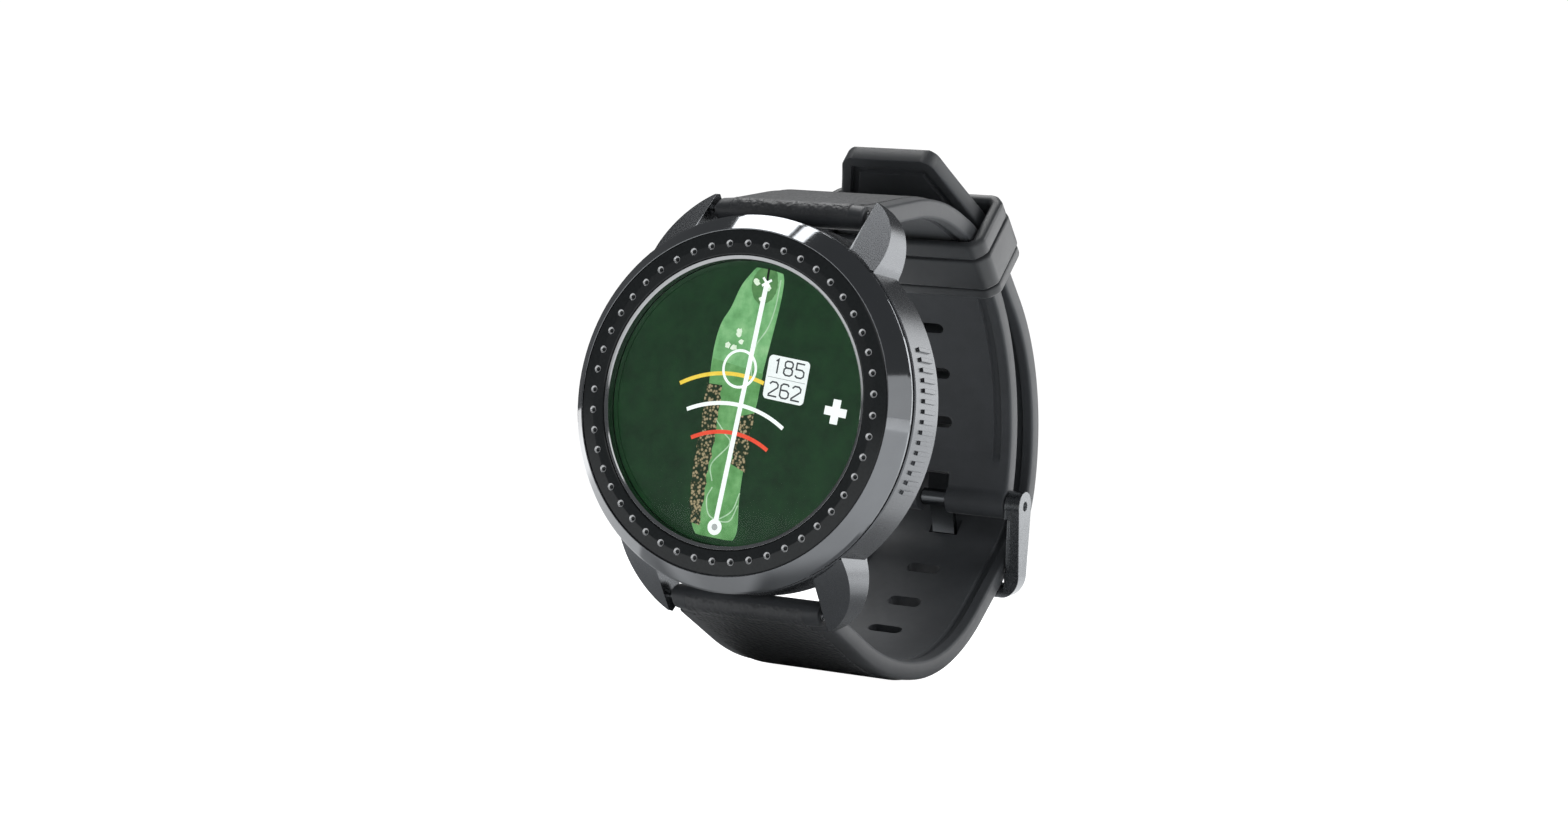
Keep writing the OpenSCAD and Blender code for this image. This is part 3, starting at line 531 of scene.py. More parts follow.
def strap_mesh(name, path, sign, rows, half_at, core_at, groove_at, end_rim):
    """A strap as one closed grid. Columns keep fixed distances from the edges, so the raised panel of the
    outer face and the channel of the inner face follow the outline, round the tip too."""
    cols = [(o, None) for o in RIM] + [(None, f) for f in CORE]
    cols = cols + [(None, 1.0)] + cols[::-1]
    n = len(cols)

    def across(j, w):
        o, f = cols[j]
        inner = w - RIM[-1]
        x = w - o if f is None else inner * (1 - f)
        return x if j > n // 2 else -x

    def outer_fall(o, soft):
        fall = round_drop(o, OUTER_EDGE + OUTER_MORE * soft)
        t = (o - PANEL_LOW) / (PANEL_HIGH - PANEL_LOW)
        if t < 0:
            fall += RIM_DROP + RIM_SLOPE * (PANEL_LOW - o) / PANEL_LOW
        elif t < 1:
            fall += RIM_DROP * (1 - smooth(t) + math.sin(math.pi * t))
        return fall

    def inner_fall(o, g, soft):
        fall = round_drop(o, INNER_EDGE + INNER_MORE * soft)
        a, b, c, d = CHANNEL
        middle = MIDDLE_DROP * min(1.0, g / FULL_CHANNEL)
        if a < o < b:
            fall += g * smooth((o - a) / (b - a))
        elif b <= o <= c:
            fall += g
        elif c < o < d:
            fall += g - (g - middle) * smooth((o - c) / (d - c))
        elif o >= d:
            fall += middle
        return fall

    verts, faces, mats = [], [], []
    for s in rows:
        w, h, g = half_at(s), core_at(s), groove_at(s)
        e = path.length - s if end_rim else path.length
        soft = smooth((e - 1.0) / 3.0)
        outer, inner = [], []
        for j in range(n):
            x = across(j, w)
            o = min(w - abs(x), e)
            k = min(1.0, h / THICK)
            outer.append(path.place(s, x, h - outer_fall(o, soft) * k, sign))
            inner.append(path.place(s, x, -h + inner_fall(o, g, soft) * k, sign))
        verts += outer + inner[::-1]
    ring = 2 * n
    for i in range(len(rows) - 1):
        for j in range(ring):
            a, b = i * ring + j, i * ring + (j + 1) % ring
            faces.append((a, b, b + ring, a + ring))
            panel = j < n - 1 and all(o is None or o >= PANEL_GRAIN for o, _ in cols[j:j + 2])
            face_in = n <= j < ring - 1
            mats.append(1 if panel else (2 if face_in else 0))
    for i in (0, len(rows) - 1):
        for j in range(n - 1):
            a, b = i * ring + j, i * ring + j + 1
            c, d = i * ring + ring - 2 - j, i * ring + ring - 1 - j
            faces.append((a, d, c, b) if i == 0 else (a, b, c, d))
            mats.append(0)
    mesh = bpy.data.meshes.new(name)
    mesh.from_pydata(verts, [], faces)
    for p, m in zip(mesh.polygons, mats):
        p.material_index = m
    obj = add_object(name, mesh)
    for key in ("strap_rubber", "strap_grain", "strap_inner"):
        mesh.materials.append(MATS[key])
    clean(mesh)
    return obj


def clean(mesh, weld=True):
    """Turns every face outwards, after joining points that lie on one another."""
    bm = bmesh.new()
    bm.from_mesh(mesh)
    if weld:
        bmesh.ops.remove_doubles(bm, verts=bm.verts, dist=1e-7)
        bmesh.ops.dissolve_degenerate(bm, edges=bm.edges, dist=1e-8)
    bmesh.ops.recalc_face_normals(bm, faces=bm.faces)
    bm.to_mesh(mesh)
    bm.free()


def add_object(name, data):
    obj = bpy.data.objects.new(name, data)
    bpy.context.scene.collection.objects.link(obj)
    return obj


def disc(cx, cy, r, steps=40):
    return [(cx + r * math.cos(FULL_TURN * i / steps), cy + r * math.sin(FULL_TURN * i / steps))
            for i in range(steps)]


def prism(points, low, high, placer):
    """Vertices and faces of a prism: a closed outline of 2-D points between two heights."""
    n = len(points)
    verts = [placer(x, y, low) for x, y in points] + [placer(x, y, high) for x, y in points]
    faces = [tuple(range(n))[::-1], tuple(range(n, 2 * n))]
    faces += [(i, (i + 1) % n, n + (i + 1) % n, n + i) for i in range(n)]
    return verts, faces


def solid(name, shapes, mat=None):
    """One mesh object from several (vertices, faces)."""
    verts, faces = [], []
    for v, f in shapes:
        base = len(verts)
        verts += v
        faces += [tuple(base + i for i in face) for face in f]
    mesh = bpy.data.meshes.new(name)
    mesh.from_pydata(verts, [], faces)
    clean(mesh, False)
    obj = add_object(name, mesh)
    if mat:
        mesh.materials.append(MATS[mat])
    return obj


def cut(obj, cutter):
    """Subtracts cutter from obj and removes it."""
    mod = obj.modifiers.new("cut", "BOOLEAN")
    mod.operation = "DIFFERENCE"
    mod.solver = "EXACT"
    mod.object = cutter
    bpy.context.view_layer.update()
    graph = bpy.context.evaluated_depsgraph_get()
    mesh = bpy.data.meshes.new_from_object(obj.evaluated_get(graph))
    obj.modifiers.clear()
    old = obj.data
    obj.data = mesh
    mesh.name = obj.name
    bpy.data.meshes.remove(old)
    bpy.data.objects.remove(cutter)


def finish_shading(obj, angle=32):
    for p in obj.data.polygons:
        p.use_smooth = True
    obj.data.set_sharp_from_angle(angle=math.radians(angle))


def stadium(w, t, steps=7):
    """Outline of a round ended slot, w by t."""
    pts = []
    for side in (1, -1):
        for i in range(steps + 1):
            a = math.radians(-90 + 180 * i / steps)
            pts.append((side * ((w - t) / 2 + t / 2 * math.cos(a)), side * t / 2 * math.sin(a)))
    return pts


def strap_cutter(path, s, sign, outline, reach):
    """A prism through a strap at distance s along it. The outline lies in the strap's face."""
    (h, d), head = path.at(s)
    a = math.radians(head)

    def place(x, y, z):
        row, depth = h + z * math.cos(a) - y * math.sin(a), d + z * math.sin(a) + y * math.cos(a)
        return Vector((x, depth - DEPTH, sign * row)) * MM

    return prism(outline, -reach, reach, place)


def rod(centre, r, half, steps=32):
    """A round rod across the strap, at (row height, depth)."""
    return prism(disc(0, 0, r, steps), -half, half,
                 lambda a, b, z: Vector((z, centre[1] + b - DEPTH, centre[0] + a)) * MM)


def row_list(length, start, extra):
    """Distances along a strap for its rows of points: every ROW_STEP, with the extra ones."""
    even = [round(i * ROW_STEP, 4) for i in range(1, int(length / ROW_STEP))]
    rows = sorted(set([round(v, 4) for v in extra] + even))
    out = [start]
    for v in rows:
        if v - out[-1] > 0.03:
            out.append(v)
    return out


def eye_rows():
    rows = [-EYE_R * math.cos(math.radians(a)) for a in (7, 16, 28, 40, 52, 64, 76, 90)]
    return rows + [0.2, 0.4, 0.6, 0.75, 0.9, 1.05, 1.25, 1.6, 2.1, 2.16, 2.2, 2.26, 2.34, 2.45, 2.6]


def eye_half(s):
    """Half the width near a spring bar, where the strap is narrower to pass between the lugs."""
    if s < EYE_END:
        return EYE_HALF
    t = min(1.0, (s - EYE_END) / 0.44)
    return EYE_HALF + (HALF - EYE_HALF) * math.sqrt(max(0.0, 1 - (1 - t) ** 2))


def eye_core(s):
    """Half the thickness near a spring bar, with the eye round it."""
    ball = math.sqrt(max(EYE_R ** 2 - s * s, 0.0)) if abs(s) < EYE_R else 0.0
    return ball if s < 0 else smooth_max(THICK, ball, 0.25) if s < 2.2 else THICK


def channel(s, s0, s1, depth=0.42, fade=0.5):
    """Depth of the inner face's channel, which runs from s0 to s1."""
    return depth * smooth((s - s0) / fade) * smooth((s1 - s) / fade)


def rear_s(a):
    """Distance along the short strap of a heading in its rear bend."""
    return REAR_S + REAR_R * math.radians(a - REAR)


def make_short_strap():
    """The strap of the 12 o'clock side, with slots in its rear bend and the buckle's pin in its head."""
    end = SHORT.length
    ball = [end + HEAD_R * math.cos(math.radians(a))
            for a in (172, 150, 136, 124, 112, 101, 90, 79, 68, 56, 44, 32, 20, 8)]

    def core_at(s):
        if s < 10:
            return eye_core(s)
        gap = s - end
        head = math.sqrt(max(HEAD_R ** 2 - gap * gap, 0.0)) if abs(gap) < HEAD_R else 0.0
        return smooth_max(THICK, head, 0.3) if gap < 0 else head

    def groove_at(s):
        return channel(s, 9.0, rear_s(CHANNEL_END))

    rows = row_list(end - 0.9, eye_rows()[0], eye_rows()[1:] + [v for v in ball if v < end - 0.5])
    rows = [r for r in rows if r < end - 0.6]
    rows += [v for v in sorted(ball) if v > rows[-1] + 0.05]
    obj = strap_mesh("strap_short_skin", SHORT, 1, rows, eye_half, core_at, groove_at, False)
    shapes = [rod(BAR, BAR_HOLE_R, HOLE_HALF), rod(SHORT.at(end)[0], PIN_HOLE_R, HOLE_HALF)]
    for a in SLOT_HEADINGS:
        shapes.append(strap_cutter(SHORT, rear_s(a), 1, stadium(*SLOT_SIZE), SLOT_REACH))
    cut(obj, solid("cutter", shapes))
    # the notch in the head, where the tang's eye sits on the pin
    box = [(-2.1, -3.4), (2.1, -3.4), (2.1, 3.2), (-2.1, 3.2)]
    cut(obj, solid("cutter", [strap_cutter(SHORT, end, 1, box, 3.5)]))
    clean(obj.data)
    finish_shading(obj)
    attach(obj, "case")
    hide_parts("strap_short")


# the tapered tip of the long strap, with its corners' radius
TIP_LEN = 12.6
TIP_HALF = 6.15
TIP_CORNER = 1.3
# the long strap's holes: distance along it of the first, pitch, number, and the one that the tang is in
HOLE_FROM, HOLE_PITCH, HOLES, TANG_HOLE = 39.8, 6.5, 10, 3
HOLE_SIZE = (4.8, 1.7)
# the last stretch of the long strap, where the rows of points follow the raised panel round the tip
TAIL = 3.2
# the tang's finger: centre of its bend, radius, thickness and width
TANG_C = (15.42, 52.63)
TANG_R = 10.71
TANG_T = 0.9
TANG_W = 3.5


def tang_block(a0, a1, grow_in, grow_out, w, steps=24):
    """The bent bar that the tang's finger fills, grown on its two sides, as a solid in the frame."""
    r0, r1 = TANG_R - TANG_T / 2 - grow_in, TANG_R + TANG_T / 2 + grow_out
    pts = [turned(TANG_C, r1, a0 + (a1 - a0) * i / steps) for i in range(steps + 1)]
    pts += [turned(TANG_C, r0, a1 + (a0 - a1) * i / steps) for i in range(steps + 1)]
    return prism(pts, -w / 2, w / 2, lambda h, d, z: Vector((z, d - DEPTH, -h)) * MM)


def make_long_strap():
    """The strap of the 6 o'clock side, which runs over the short one, through the keeper, to its tip."""
    end = LONG.length

    def half_at(s):
        w = eye_half(s) if s < 5 else HALF
        e = end - s
        sloped = TIP_HALF + e * (HALF - TIP_HALF) / TIP_LEN
        w = -smooth_max(-w, -sloped, 0.7)
        return w - round_drop(e, TIP_CORNER)

    def groove_at(s):
        return channel(s, 26.0, end + 1.0, 0.54)

    tail = [end - v for v in (0.0, 0.04, 0.1, 0.16, 0.23, 0.3, 0.38, 0.45, 0.6, 0.75, 0.9, 1.05, 1.2, 1.4,
                              1.48, 1.56, 1.72, 1.86, 1.95, 2.03, 2.12, 2.3, 2.46, 2.58, 2.7, 3.0)]
    body = end - TAIL
    rows = [r for r in row_list(body, eye_rows()[0], eye_rows()[1:]) if r < body] + tail[::-1]
    obj = strap_mesh("strap_long_skin", LONG, -1, rows, half_at, eye_core, groove_at, True)
    shapes = [rod((-BAR[0], BAR[1]), BAR_HOLE_R, HOLE_HALF)]
    for i in range(HOLES):
        if i != TANG_HOLE:
            at = HOLE_FROM + i * HOLE_PITCH
            shapes.append(strap_cutter(LONG, at, -1, stadium(*HOLE_SIZE), SLOT_REACH))
    shapes.append(tang_block(66, 136, 0.25, 0.75, TANG_W + 0.7))
    cut(obj, solid("cutter", shapes))
    clean(obj.data)
    finish_shading(obj)
    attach(obj, "case")
    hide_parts("strap_long")


# ---------------------------------------------------------------- keeper
def soft_polygon(pts, radius, steps=4):
    """A closed outline with each corner rounded."""
    out = []
    n = len(pts)
    for i in range(n):
        p, a, b = Vector(pts[i]), Vector(pts[i - 1]), Vector(pts[(i + 1) % n])
        u, v = (a - p).normalized(), (b - p).normalized()
        half = math.acos(max(-1, min(1, u.dot(v)))) / 2
        r = min(radius, 0.45 * min((a - p).length, (b - p).length) * math.tan(half))
        t = r / math.tan(half)
        c = p + (u + v).normalized() * (r / math.sin(half))
        p0, p1 = p + u * t, p + v * t
        a0 = math.atan2(p0.y - c.y, p0.x - c.x)
        a1 = math.atan2(p1.y - c.y, p1.x - c.x)
        da = (a1 - a0 + math.pi) % FULL_TURN - math.pi
        for k in range(steps + 1):
            ang = a0 + da * k / steps
            out.append((c.x + r * math.cos(ang), c.y + r * math.sin(ang)))
    return out


def oct_rect(r0, r1, half, c, rad):
    """A rectangle from r0 to r1 and half to each side, with chamfers c, all corners rounded."""
    pts = [(r0, -half + c), (r0 + c, -half), (r1 - c, -half), (r1, -half + c),
           (r1, half - c), (r1 - c, half), (r0 + c, half), (r0, half - c)]
    return soft_polygon(pts, rad)


# the keeper's outer and inner outline: near and far radius in the rear bend, half width, chamfer, corners
KEEPER_OUT = (29.55, 39.4, 12.6, 1.3, 1.5)
KEEPER_IN = (30.7, 37.95, 11.0, 0.5, 0.4)
# along the strap: its two open ends, and the two fine lines between them
KEEPER_TOP, LINE_1, LINE_2, KEEPER_LOW = -9.85, -7.3, -2.1, -0.35
MIDDLE_HIGH = 0.12


def make_keeper():
    """A moulded loop: an upper collar, a wider middle band and a thin lower collar, with lines between."""

    def rim(y, way):
        """The rounded outer edge of an open end, from the end inwards."""
        return [(y + way * d, g) for d, g in ((0.0, -0.5), (0.06, -0.28), (0.16, -0.13), (0.3, -0.04),
                                              (0.5, 0.0))]

    def line(y, way):
        """One side of a fine line, from its floor up onto the band beside it."""
        high = MIDDLE_HIGH if (y == LINE_1) == (way > 0) else 0.0
        return [(y + way * d, g) for d, g in ((0.13, -0.3), (0.16, high - 0.2), (0.22, high - 0.07),
                                              (0.34, high - 0.015), (0.5, high))]

    def outline(g, near, far, half, chamfer, corner):
        return oct_rect(near - g, far + g, half + g, chamfer, corner)

    outer = rim(KEEPER_TOP, 1) + line(LINE_1, -1)[::-1] + line(LINE_1, 1)
    outer += line(LINE_2, -1)[::-1] + line(LINE_2, 1) + rim(KEEPER_LOW, -1)[::-1]
    mouth = [(0.0, 0.4), (0.08, 0.22), (0.2, 0.09), (0.4, 0.02), (0.7, 0.0)]
    inner = [(KEEPER_LOW - d, g) for d, g in mouth] + [(KEEPER_TOP + d, g) for d, g in mouth[::-1]]
    rings = [(y, outline(g, *KEEPER_OUT)) for y, g in outer]
    rings += [(y, outline(g, *KEEPER_IN)) for y, g in inner]
    verts, faces = [], []
    n = len(rings[0][1])
    for y, pts in rings:
        for r, x in pts:
            h, d = turned(turned(REAR_C, r, REAR), y, REAR + 90)
            verts.append(Vector((x, d - DEPTH, h)) * MM)
    m = len(rings)
    for i in range(m):
        for j in range(n):
            p, q = i * n + j, i * n + (j + 1) % n
            r, s = ((i + 1) % m) * n + (j + 1) % n, ((i + 1) % m) * n + j
            faces.append((p, q, r, s))
    obj = solid("strap_keeper_skin", [(verts, faces)], "keeper_rubber")
    finish_shading(obj, 50)
    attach(obj, "keeper")
    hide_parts("strap_keeper")


make_short_strap()
make_long_strap()
make_keeper()


# ---------------------------------------------------------------- the picture on the display
# The picture is laid out on a square drawing whose unit is UNIT mm and whose middle is DRAWING_MIDDLE.
UNIT = 18.84 / 518.5
DRAWING_MIDDLE = (724, 700)
# The patches lie in layers on the panel: height of the lowest, step from layer to layer, thickness of each.
LAYER_LOW, LAYER_STEP, LAYER_THICK = -1.745, 0.012, 0.009
SCREEN_R = 16.22
GROUND_R = 16.38
# the border printed on the back of the glass: radius of its middle, and its width
BORDER_R, BORDER_W = 16.65, 0.56


def spot(px, py):
    """A place on the display in mm, from a place on the drawing."""
    return ((px - DRAWING_MIDDLE[0]) * UNIT, (DRAWING_MIDDLE[1] - py) * UNIT)


def spots(*places):
    return [spot(*p) for p in places]


def flat(name, shapes, layer, mat):
    """A thin patch of the picture, from one or more closed outlines."""
    low = LAYER_LOW + LAYER_STEP * layer
    high = low + LAYER_THICK

    def place(x, y, z):
        return Vector((x, -DEPTH - z, y)) * MM

    obj = solid(name, [prism(s, low, high, place) for s in shapes], mat)
    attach(obj, "case")


def ribbon(points, width, closed=False):
    """A line of some width, mitred: its outline, or its two sides where it is closed."""
    pts = [Vector(p) for p in points]
    n = len(pts)
    left, right = [], []
    for i, p in enumerate(pts):
        a = pts[i - 1] if (i > 0 or closed) else p
        b = pts[(i + 1) % n] if (i < n - 1 or closed) else p
        d0 = (p - a).normalized() if (p - a).length > 1e-9 else (b - p).normalized()
        d1 = (b - p).normalized() if (b - p).length > 1e-9 else d0
        t = (d0 + d1).normalized()
        m = Vector((-t.y, t.x))
        k = width / 2 / max(0.4, m.dot(Vector((-d1.y, d1.x))))
        left.append(p + m * k)
        right.append(p - m * k)
    if closed:
        return left, right
    return [(v.x, v.y) for v in left] + [(v.x, v.y) for v in right[::-1]]


def ring_shapes(left, right):
    """The quads between the two sides of a closed line."""
    n = len(left)
    return [[tuple(q) for q in (left[i], left[(i + 1) % n], right[(i + 1) % n], right[i])] for i in range(n)]


def curve_through(points, steps=10):
    """A smooth line through the points."""
    p = [Vector(q) for q in points]
    p = [p[0] * 2 - p[1]] + p + [p[-1] * 2 - p[-2]]
    out = []
    for i in range(1, len(p) - 2):
        for k in range(steps):
            t = k / steps
            a, b, c, d = p[i - 1], p[i], p[i + 1], p[i + 2]
            out.append(0.5 * ((2 * b) + (c - a) * t + (2 * a - 5 * b + 4 * c - d) * t * t
                              + (3 * b - a - 3 * c + d) * t ** 3))
    out.append(p[-2])
    return [(v.x, v.y) for v in out]


def three_point_arc(a, m, b, steps=28):
    """Points on the circle through three points."""
    ax, ay, bx, by, cx, cy = *a, *m, *b
    d = 2 * (ax * (by - cy) + bx * (cy - ay) + cx * (ay - by))
    aa, bb, cc = ax * ax + ay * ay, bx * bx + by * by, cx * cx + cy * cy
    ux = (aa * (by - cy) + bb * (cy - ay) + cc * (ay - by)) / d
    uy = (aa * (cx - bx) + bb * (ax - cx) + cc * (bx - ax)) / d
    r = math.hypot(ax - ux, ay - uy)
    a0, a1 = math.atan2(ay - uy, ax - ux), math.atan2(cy - uy, cx - ux)
    da = (a1 - a0 + math.pi) % FULL_TURN - math.pi
    return [(ux + r * math.cos(a0 + da * i / steps), uy + r * math.sin(a0 + da * i / steps))
            for i in range(steps + 1)]


def inside_screen(points):
    """The points, with those outside the screen moved in to its edge."""
    out = []
    for x, y in points:
        d = math.hypot(x, y)
        out.append((x, y) if d <= SCREEN_R else (x * SCREEN_R / d, y * SCREEN_R / d))
    return out


# strokes of the digits, in a box 1 wide and DIGIT_HIGH high, each with whether it is closed
DIGIT_STROKE = 0.2
DIGIT_HIGH = 1.75
DIGITS = {
    "1": [([(0.3, 1.5), (0.56, 1.75), (0.56, 0)], False)],
    "2": [([(0, 1.45), (0.25, 1.75), (0.75, 1.75), (1, 1.5), (1, 1.15), (0.04, 0.2), (0.04, 0),
            (1.02, 0)], False)],
    "5": [([(0.98, 1.75), (0.04, 1.75), (0.04, 0.98), (0.75, 0.98), (1, 0.75), (1, 0.25), (0.75, 0),
            (0.25, 0), (0, 0.22)], False)],
    "6": [([(0.95, 1.55), (0.75, 1.75), (0.25, 1.75), (0, 1.5), (0, 0.25), (0.25, 0), (0.75, 0), (1, 0.25),
            (1, 0.72), (0.75, 0.96), (0.02, 0.96)], False)],
    "8": [([(0.25, 0), (0.75, 0), (1, 0.22), (1, 0.7), (0.78, 0.92), (0.22, 0.92), (0, 0.7),
            (0, 0.22)], True),
          ([(0.25, 0.92), (0.75, 0.92), (0.96, 1.12), (0.96, 1.54), (0.75, 1.75), (0.25, 1.75), (0.04, 1.54),
            (0.04, 1.12)], True)],
}


def make_display():
    flat("map_ground", [disc(0, 0, GROUND_R, 96)], 0, "map_ground")
    flat("map_border", ring_shapes(*ribbon(disc(0, 0, BORDER_R, 96), BORDER_W, True)), 8, "map_ground")
    left = spots((790, 236), (752, 246), (722, 275), (690, 320), (662, 390), (632, 445), (616, 520),
                 (612, 620), (616, 720), (612, 860), (600, 1000), (606, 1100), (640, 1155))
    right = spots((790, 236), (826, 250), (845, 282), (846, 330), (838, 400), (822, 500), (806, 600),
                  (798, 690), (784, 780), (776, 900), (772, 1010), (776, 1120), (740, 1172))
    flat("map_fairway", [inside_screen(curve_through(left) + curve_through(right[::-1]))], 1, "map_fairway")
    left = spots((616, 560), (613, 620), (616, 720), (612, 860), (601, 1000), (607, 1098), (640, 1153))
    right = spots((808, 598), (797, 690), (783, 780), (775, 900), (771, 1010), (774, 1118), (740, 1170))
    flat("map_fairway_low", [inside_screen(curve_through(left) + curve_through(right[::-1]))], 2,
         "map_fairway_low")

    rnd = random.Random(7)

    def ragged(side, jag):
        return [(x + rnd.uniform(-jag, jag), y + rnd.uniform(-jag, jag)) for x, y in curve_through(side, 8)]

    def band(name, side_a, side_b, layer, mat, jag):
        """A patch between two ragged sides."""
        edge = ragged(side_a, jag)
        edge += ragged(side_b, jag)[::-1]
        flat(name, [inside_screen(edge)], layer, mat)

    band("map_trees_left", spots((606, 640), (602, 760), (592, 880), (588, 1000), (600, 1100)),
         spots((660, 650), (662, 760), (650, 880), (640, 1000), (640, 1105)), 3, "map_trees", 0.16)
    band("map_trees_right", spots((744, 740), (732, 820), (728, 900)),
         spots((792, 730), (784, 820), (782, 925)), 3, "map_trees", 0.16)
    band("map_green_head", spots((780, 246), (750, 262), (730, 300), (738, 345), (764, 374)),
         spots((784, 246), (812, 258), (826, 300), (816, 345), (780, 378)), 2, "map_rough", 0.05)
    paths = [
        spots((835, 290), (826, 380), (806, 450), (772, 505), (762, 560), (768, 620)),
        spots((668, 980), (652, 1020), (672, 1075), (742, 1085), (770, 1030)),
        spots((655, 760), (690, 800), (714, 835), (655, 905), (664, 960)),
        spots((700, 1085), (750, 1050), (772, 990)),
    ]
    flat("map_paths", [ribbon(curve_through(q), 0.16) for q in paths], 3, "map_path")
    # bunkers and the marks on the green: ragged blobs, with radii in drawing units
    sides, jag = 12, 0.35
    sand = []
    for cx, cy, r in ((704, 470, 13), (688, 520, 12), (666, 515, 10), (715, 500, 9), (748, 300, 12),
                      (792, 318, 10), (770, 355, 8)):
        x, y = spot(cx, cy)
        sand.append([(x + r * UNIT * (1 + rnd.uniform(-jag, jag)) * math.cos(FULL_TURN * i / sides),
                      y + r * UNIT * (1 + rnd.uniform(-jag, jag)) * math.sin(FULL_TURN * i / sides))
                     for i in range(sides)])
    flat("map_sand", sand, 3, "map_sand")

    for colour, start, middle, end in (("yellow", (503, 652), (650, 608), (815, 628)),
                                       ("white", (540, 735), (730, 705), (903, 768)),
                                       ("red", (568, 826), (710, 797), (855, 843))):
        bow = three_point_arc(*spots(start, middle, end))
        flat("map_arc_" + colour, [ribbon(bow, 0.47)], 4, "map_" + colour)
    target = disc(*spot(720, 588), 60 * UNIT, 56)
    flat("map_target", ring_shapes(*ribbon(target, 0.33, True)), 5, "map_white")
    flat("map_shot_line", [ribbon(spots((695, 1095), (785, 300)), 0.62)], 5, "map_white")
    tee = spot(694, 1108)
    flat("map_tee", [disc(*tee, 0.95)], 6, "map_white")
    flat("map_tee_mark", [disc(*tee, 0.4, 20)], 7, "map_line")
    flat("map_pin", [ribbon(spots((785, 296), (788, 232)), 0.3)], 3, "map_black")
    cross = (spots((770, 285), (796, 316)), spots((802, 292), (768, 312)))
    flat("map_pin_mark", [ribbon(stroke, 0.3) for stroke in cross], 5, "map_white")

    cx, cy = spot(1086, 698)
    arm, t = 40 * UNIT, 14 * UNIT
    tilt = math.radians(-5.5)

    def turn(x, y):
        return (cx + x * math.cos(tilt) - y * math.sin(tilt), cy + x * math.sin(tilt) + y * math.cos(tilt))

    plus = [(-t, arm), (t, arm), (t, t), (arm, t), (arm, -t), (t, -t), (t, -arm), (-t, -arm), (-t, -t),
            (-arm, -t), (-arm, t), (-t, t)]
    flat("map_plus", [[turn(*p) for p in plus]], 4, "map_white")

    corners = spots((815, 674), (966, 690), (978, 547), (826, 531))
    flat("map_plate", [soft_polygon(corners, 0.55, 6)], 4, "map_plate")
    a, b, c, d = (Vector(p) for p in corners)
    middle = [tuple(a + (d - a) * 0.5 + (b - a) * 0.04), tuple(b + (c - b) * 0.5 - (b - a) * 0.04)]
    flat("map_plate_line", [ribbon(middle, 0.09)], 5, "map_line")
    along, up = b - a, d - a

    def write(word, v0, v1):
        """The strokes of a number on the plate, between two heights as shares of the plate's."""
        shapes = []
        for k, ch in enumerate(word):
            u0 = 0.125 + k * 0.28
            for pts, closed in DIGITS[ch]:
                line = [tuple(a + along * (u0 + x * 0.205) + up * (v0 + (v1 - v0) * y / DIGIT_HIGH))
                        for x, y in pts]
                if closed:
                    shapes += ring_shapes(*ribbon(line, DIGIT_STROKE, True))
                else:
                    shapes.append(ribbon(line, DIGIT_STROKE))
        return shapes

    flat("map_number_near", write("262", 0.08, 0.4), 5, "map_ink")
    flat("map_number_far", write("185", 0.6, 0.92), 5, "map_ink")


make_display()


# ---------------------------------------------------------------- floor and light
FLOOR_R = 6.0
FLOOR_GAP = 0.0002
# The floor's own painted light stops short of the part and leaves a painted shadow under it: half that
# shadow's size along X and Y, in metres.
PAINTED_SHADOW_X, PAINTED_SHADOW_Y = 0.03, 0.033


def make_floor():
    """A pale floor, evenly white to the camera, that gives off painted light standing in for the white studio
    round the part, brighter behind it, with a painted shadow under the part where that light is left out.
    """
    floor_z = CAD_BOX[0][2] - FLOOR_GAP
    mesh = bpy.data.meshes.new("floor")
    rim = disc(0, 0, FLOOR_R, 96)
    mesh.from_pydata([Vector((x, y, floor_z)) for x, y in rim], [], [tuple(range(len(rim)))])
    floor = add_object("floor", mesh)
    n = Nodes("floor")
    path = n.add("ShaderNodeLightPath")
    soft = n.add("ShaderNodeBsdfDiffuse")
    n.put(soft, "Color", (0.62, 0.63, 0.64))
    glow = n.add("ShaderNodeEmission")
    n.put(glow, "Color", (1.0, 1.0, 1.0))
    x, y, _ = n.xyz()
    # painted shadow: no glow in a patch under the part, its middle shifted a little in Y as X changes
    painted_shadow_shift = n.smoothstep(x, -0.004, 0.007, -0.0045, 0.0018)
    far_x = n.math("DIVIDE", n.math("ABSOLUTE", x), PAINTED_SHADOW_X)
    far_y = n.math("DIVIDE", n.math("ABSOLUTE", n.math("ADD", y, painted_shadow_shift)), PAINTED_SHADOW_Y)
    clear = n.smoothstep(n.math("MAXIMUM", far_x, far_y), 0.99, 1.09, 0.0, 1.0)
    # painted light: the glow grows brighter behind the part
    behind = n.smoothstep(y, 0.025, 0.07, 0.5, 1.15)
    painted_floor_light = n.math("MULTIPLY", clear, behind)
    n.put(glow, "Strength", n.math("MAXIMUM", path.outputs["Is Camera Ray"], painted_floor_light))
    add = n.add("ShaderNodeAddShader")
    n.link(soft.outputs[0], add.inputs[0])
    n.link(glow.outputs[0], add.inputs[1])
    n.link(add.outputs[0], n.out.inputs["Surface"])
    mesh.materials.append(n.mat)


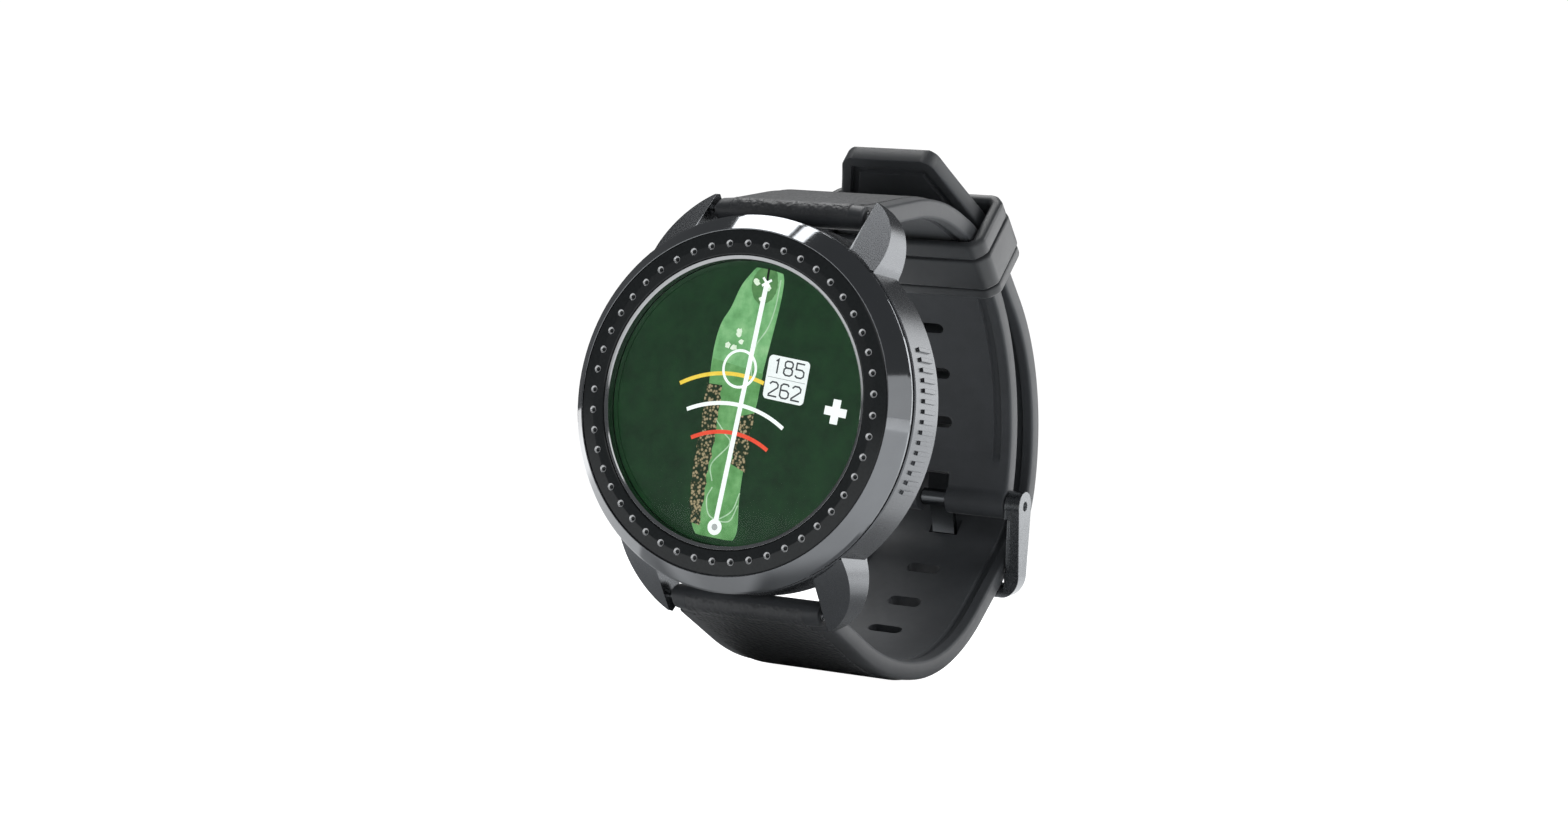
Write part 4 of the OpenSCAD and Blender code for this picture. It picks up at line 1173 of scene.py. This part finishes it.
def make_world():
    """White where the camera sees it, and a weak fill for the part."""
    world = bpy.data.worlds.new("world")
    bpy.context.scene.world = world
    world.use_nodes = True
    tree = world.node_tree
    tree.nodes.clear()
    out = tree.nodes.new("ShaderNodeOutputWorld")
    ray = tree.nodes.new("ShaderNodeLightPath")

    def background(colour, strength):
        node = tree.nodes.new("ShaderNodeBackground")
        node.inputs["Color"].default_value = (*colour, 1)
        node.inputs["Strength"].default_value = strength
        return node

    seen = background((1, 1, 1), 1.05)
    fill = background((0.93, 0.96, 1.0), 0.12)
    mix = tree.nodes.new("ShaderNodeMixShader")
    tree.links.new(ray.outputs["Is Camera Ray"], mix.inputs[0])
    tree.links.new(fill.outputs[0], mix.inputs[1])
    tree.links.new(seen.outputs[0], mix.inputs[2])
    tree.links.new(mix.outputs[0], out.inputs["Surface"])
    bpy.context.scene.view_settings.view_transform = "Standard"


DIAL_MIDDLE = (0, -0.036, 0)
# name: place, what it faces, width, height, radiance
SOFTBOXES = {
    "top_left_box": ((-0.215, 0.125, 0.45), (-0.215, 0.125, 0), 0.214, 0.35, 4.8),
    "top_right_box": ((-0.072, 0.125, 0.45), (-0.072, 0.125, 0), 0.038, 0.35, 4.4),
    "right_box": ((0.47, -0.21, 0.075), DIAL_MIDDLE, 0.30, 0.22, 0.72),
    "side_box": ((0.50, 0.16, 0.40), DIAL_MIDDLE, 0.36, 0.36, 4.2),
    "back_box": ((0.32, 0.55, 0.16), DIAL_MIDDLE, 0.44, 0.34, 2.2),
    "front_fill": ((0.35, -0.55, 0.42), DIAL_MIDDLE, 0.30, 0.30, 1.0),
}


def make_softboxes():
    for name, (at, target, width, height, glow) in SOFTBOXES.items():
        data = bpy.data.lights.new(name, "AREA")
        data.shape = "RECTANGLE"
        data.size, data.size_y = width, height
        data.energy = glow * math.pi * width * height
        lamp = add_object(name, data)
        at, target = Vector(at), Vector(target)
        turn = (target - at).to_track_quat("-Z", "Y").to_matrix().to_4x4()
        lamp.matrix_world = Matrix.Translation(at) @ turn
        lamp.visible_camera = False


make_floor()
make_world()
make_softboxes()
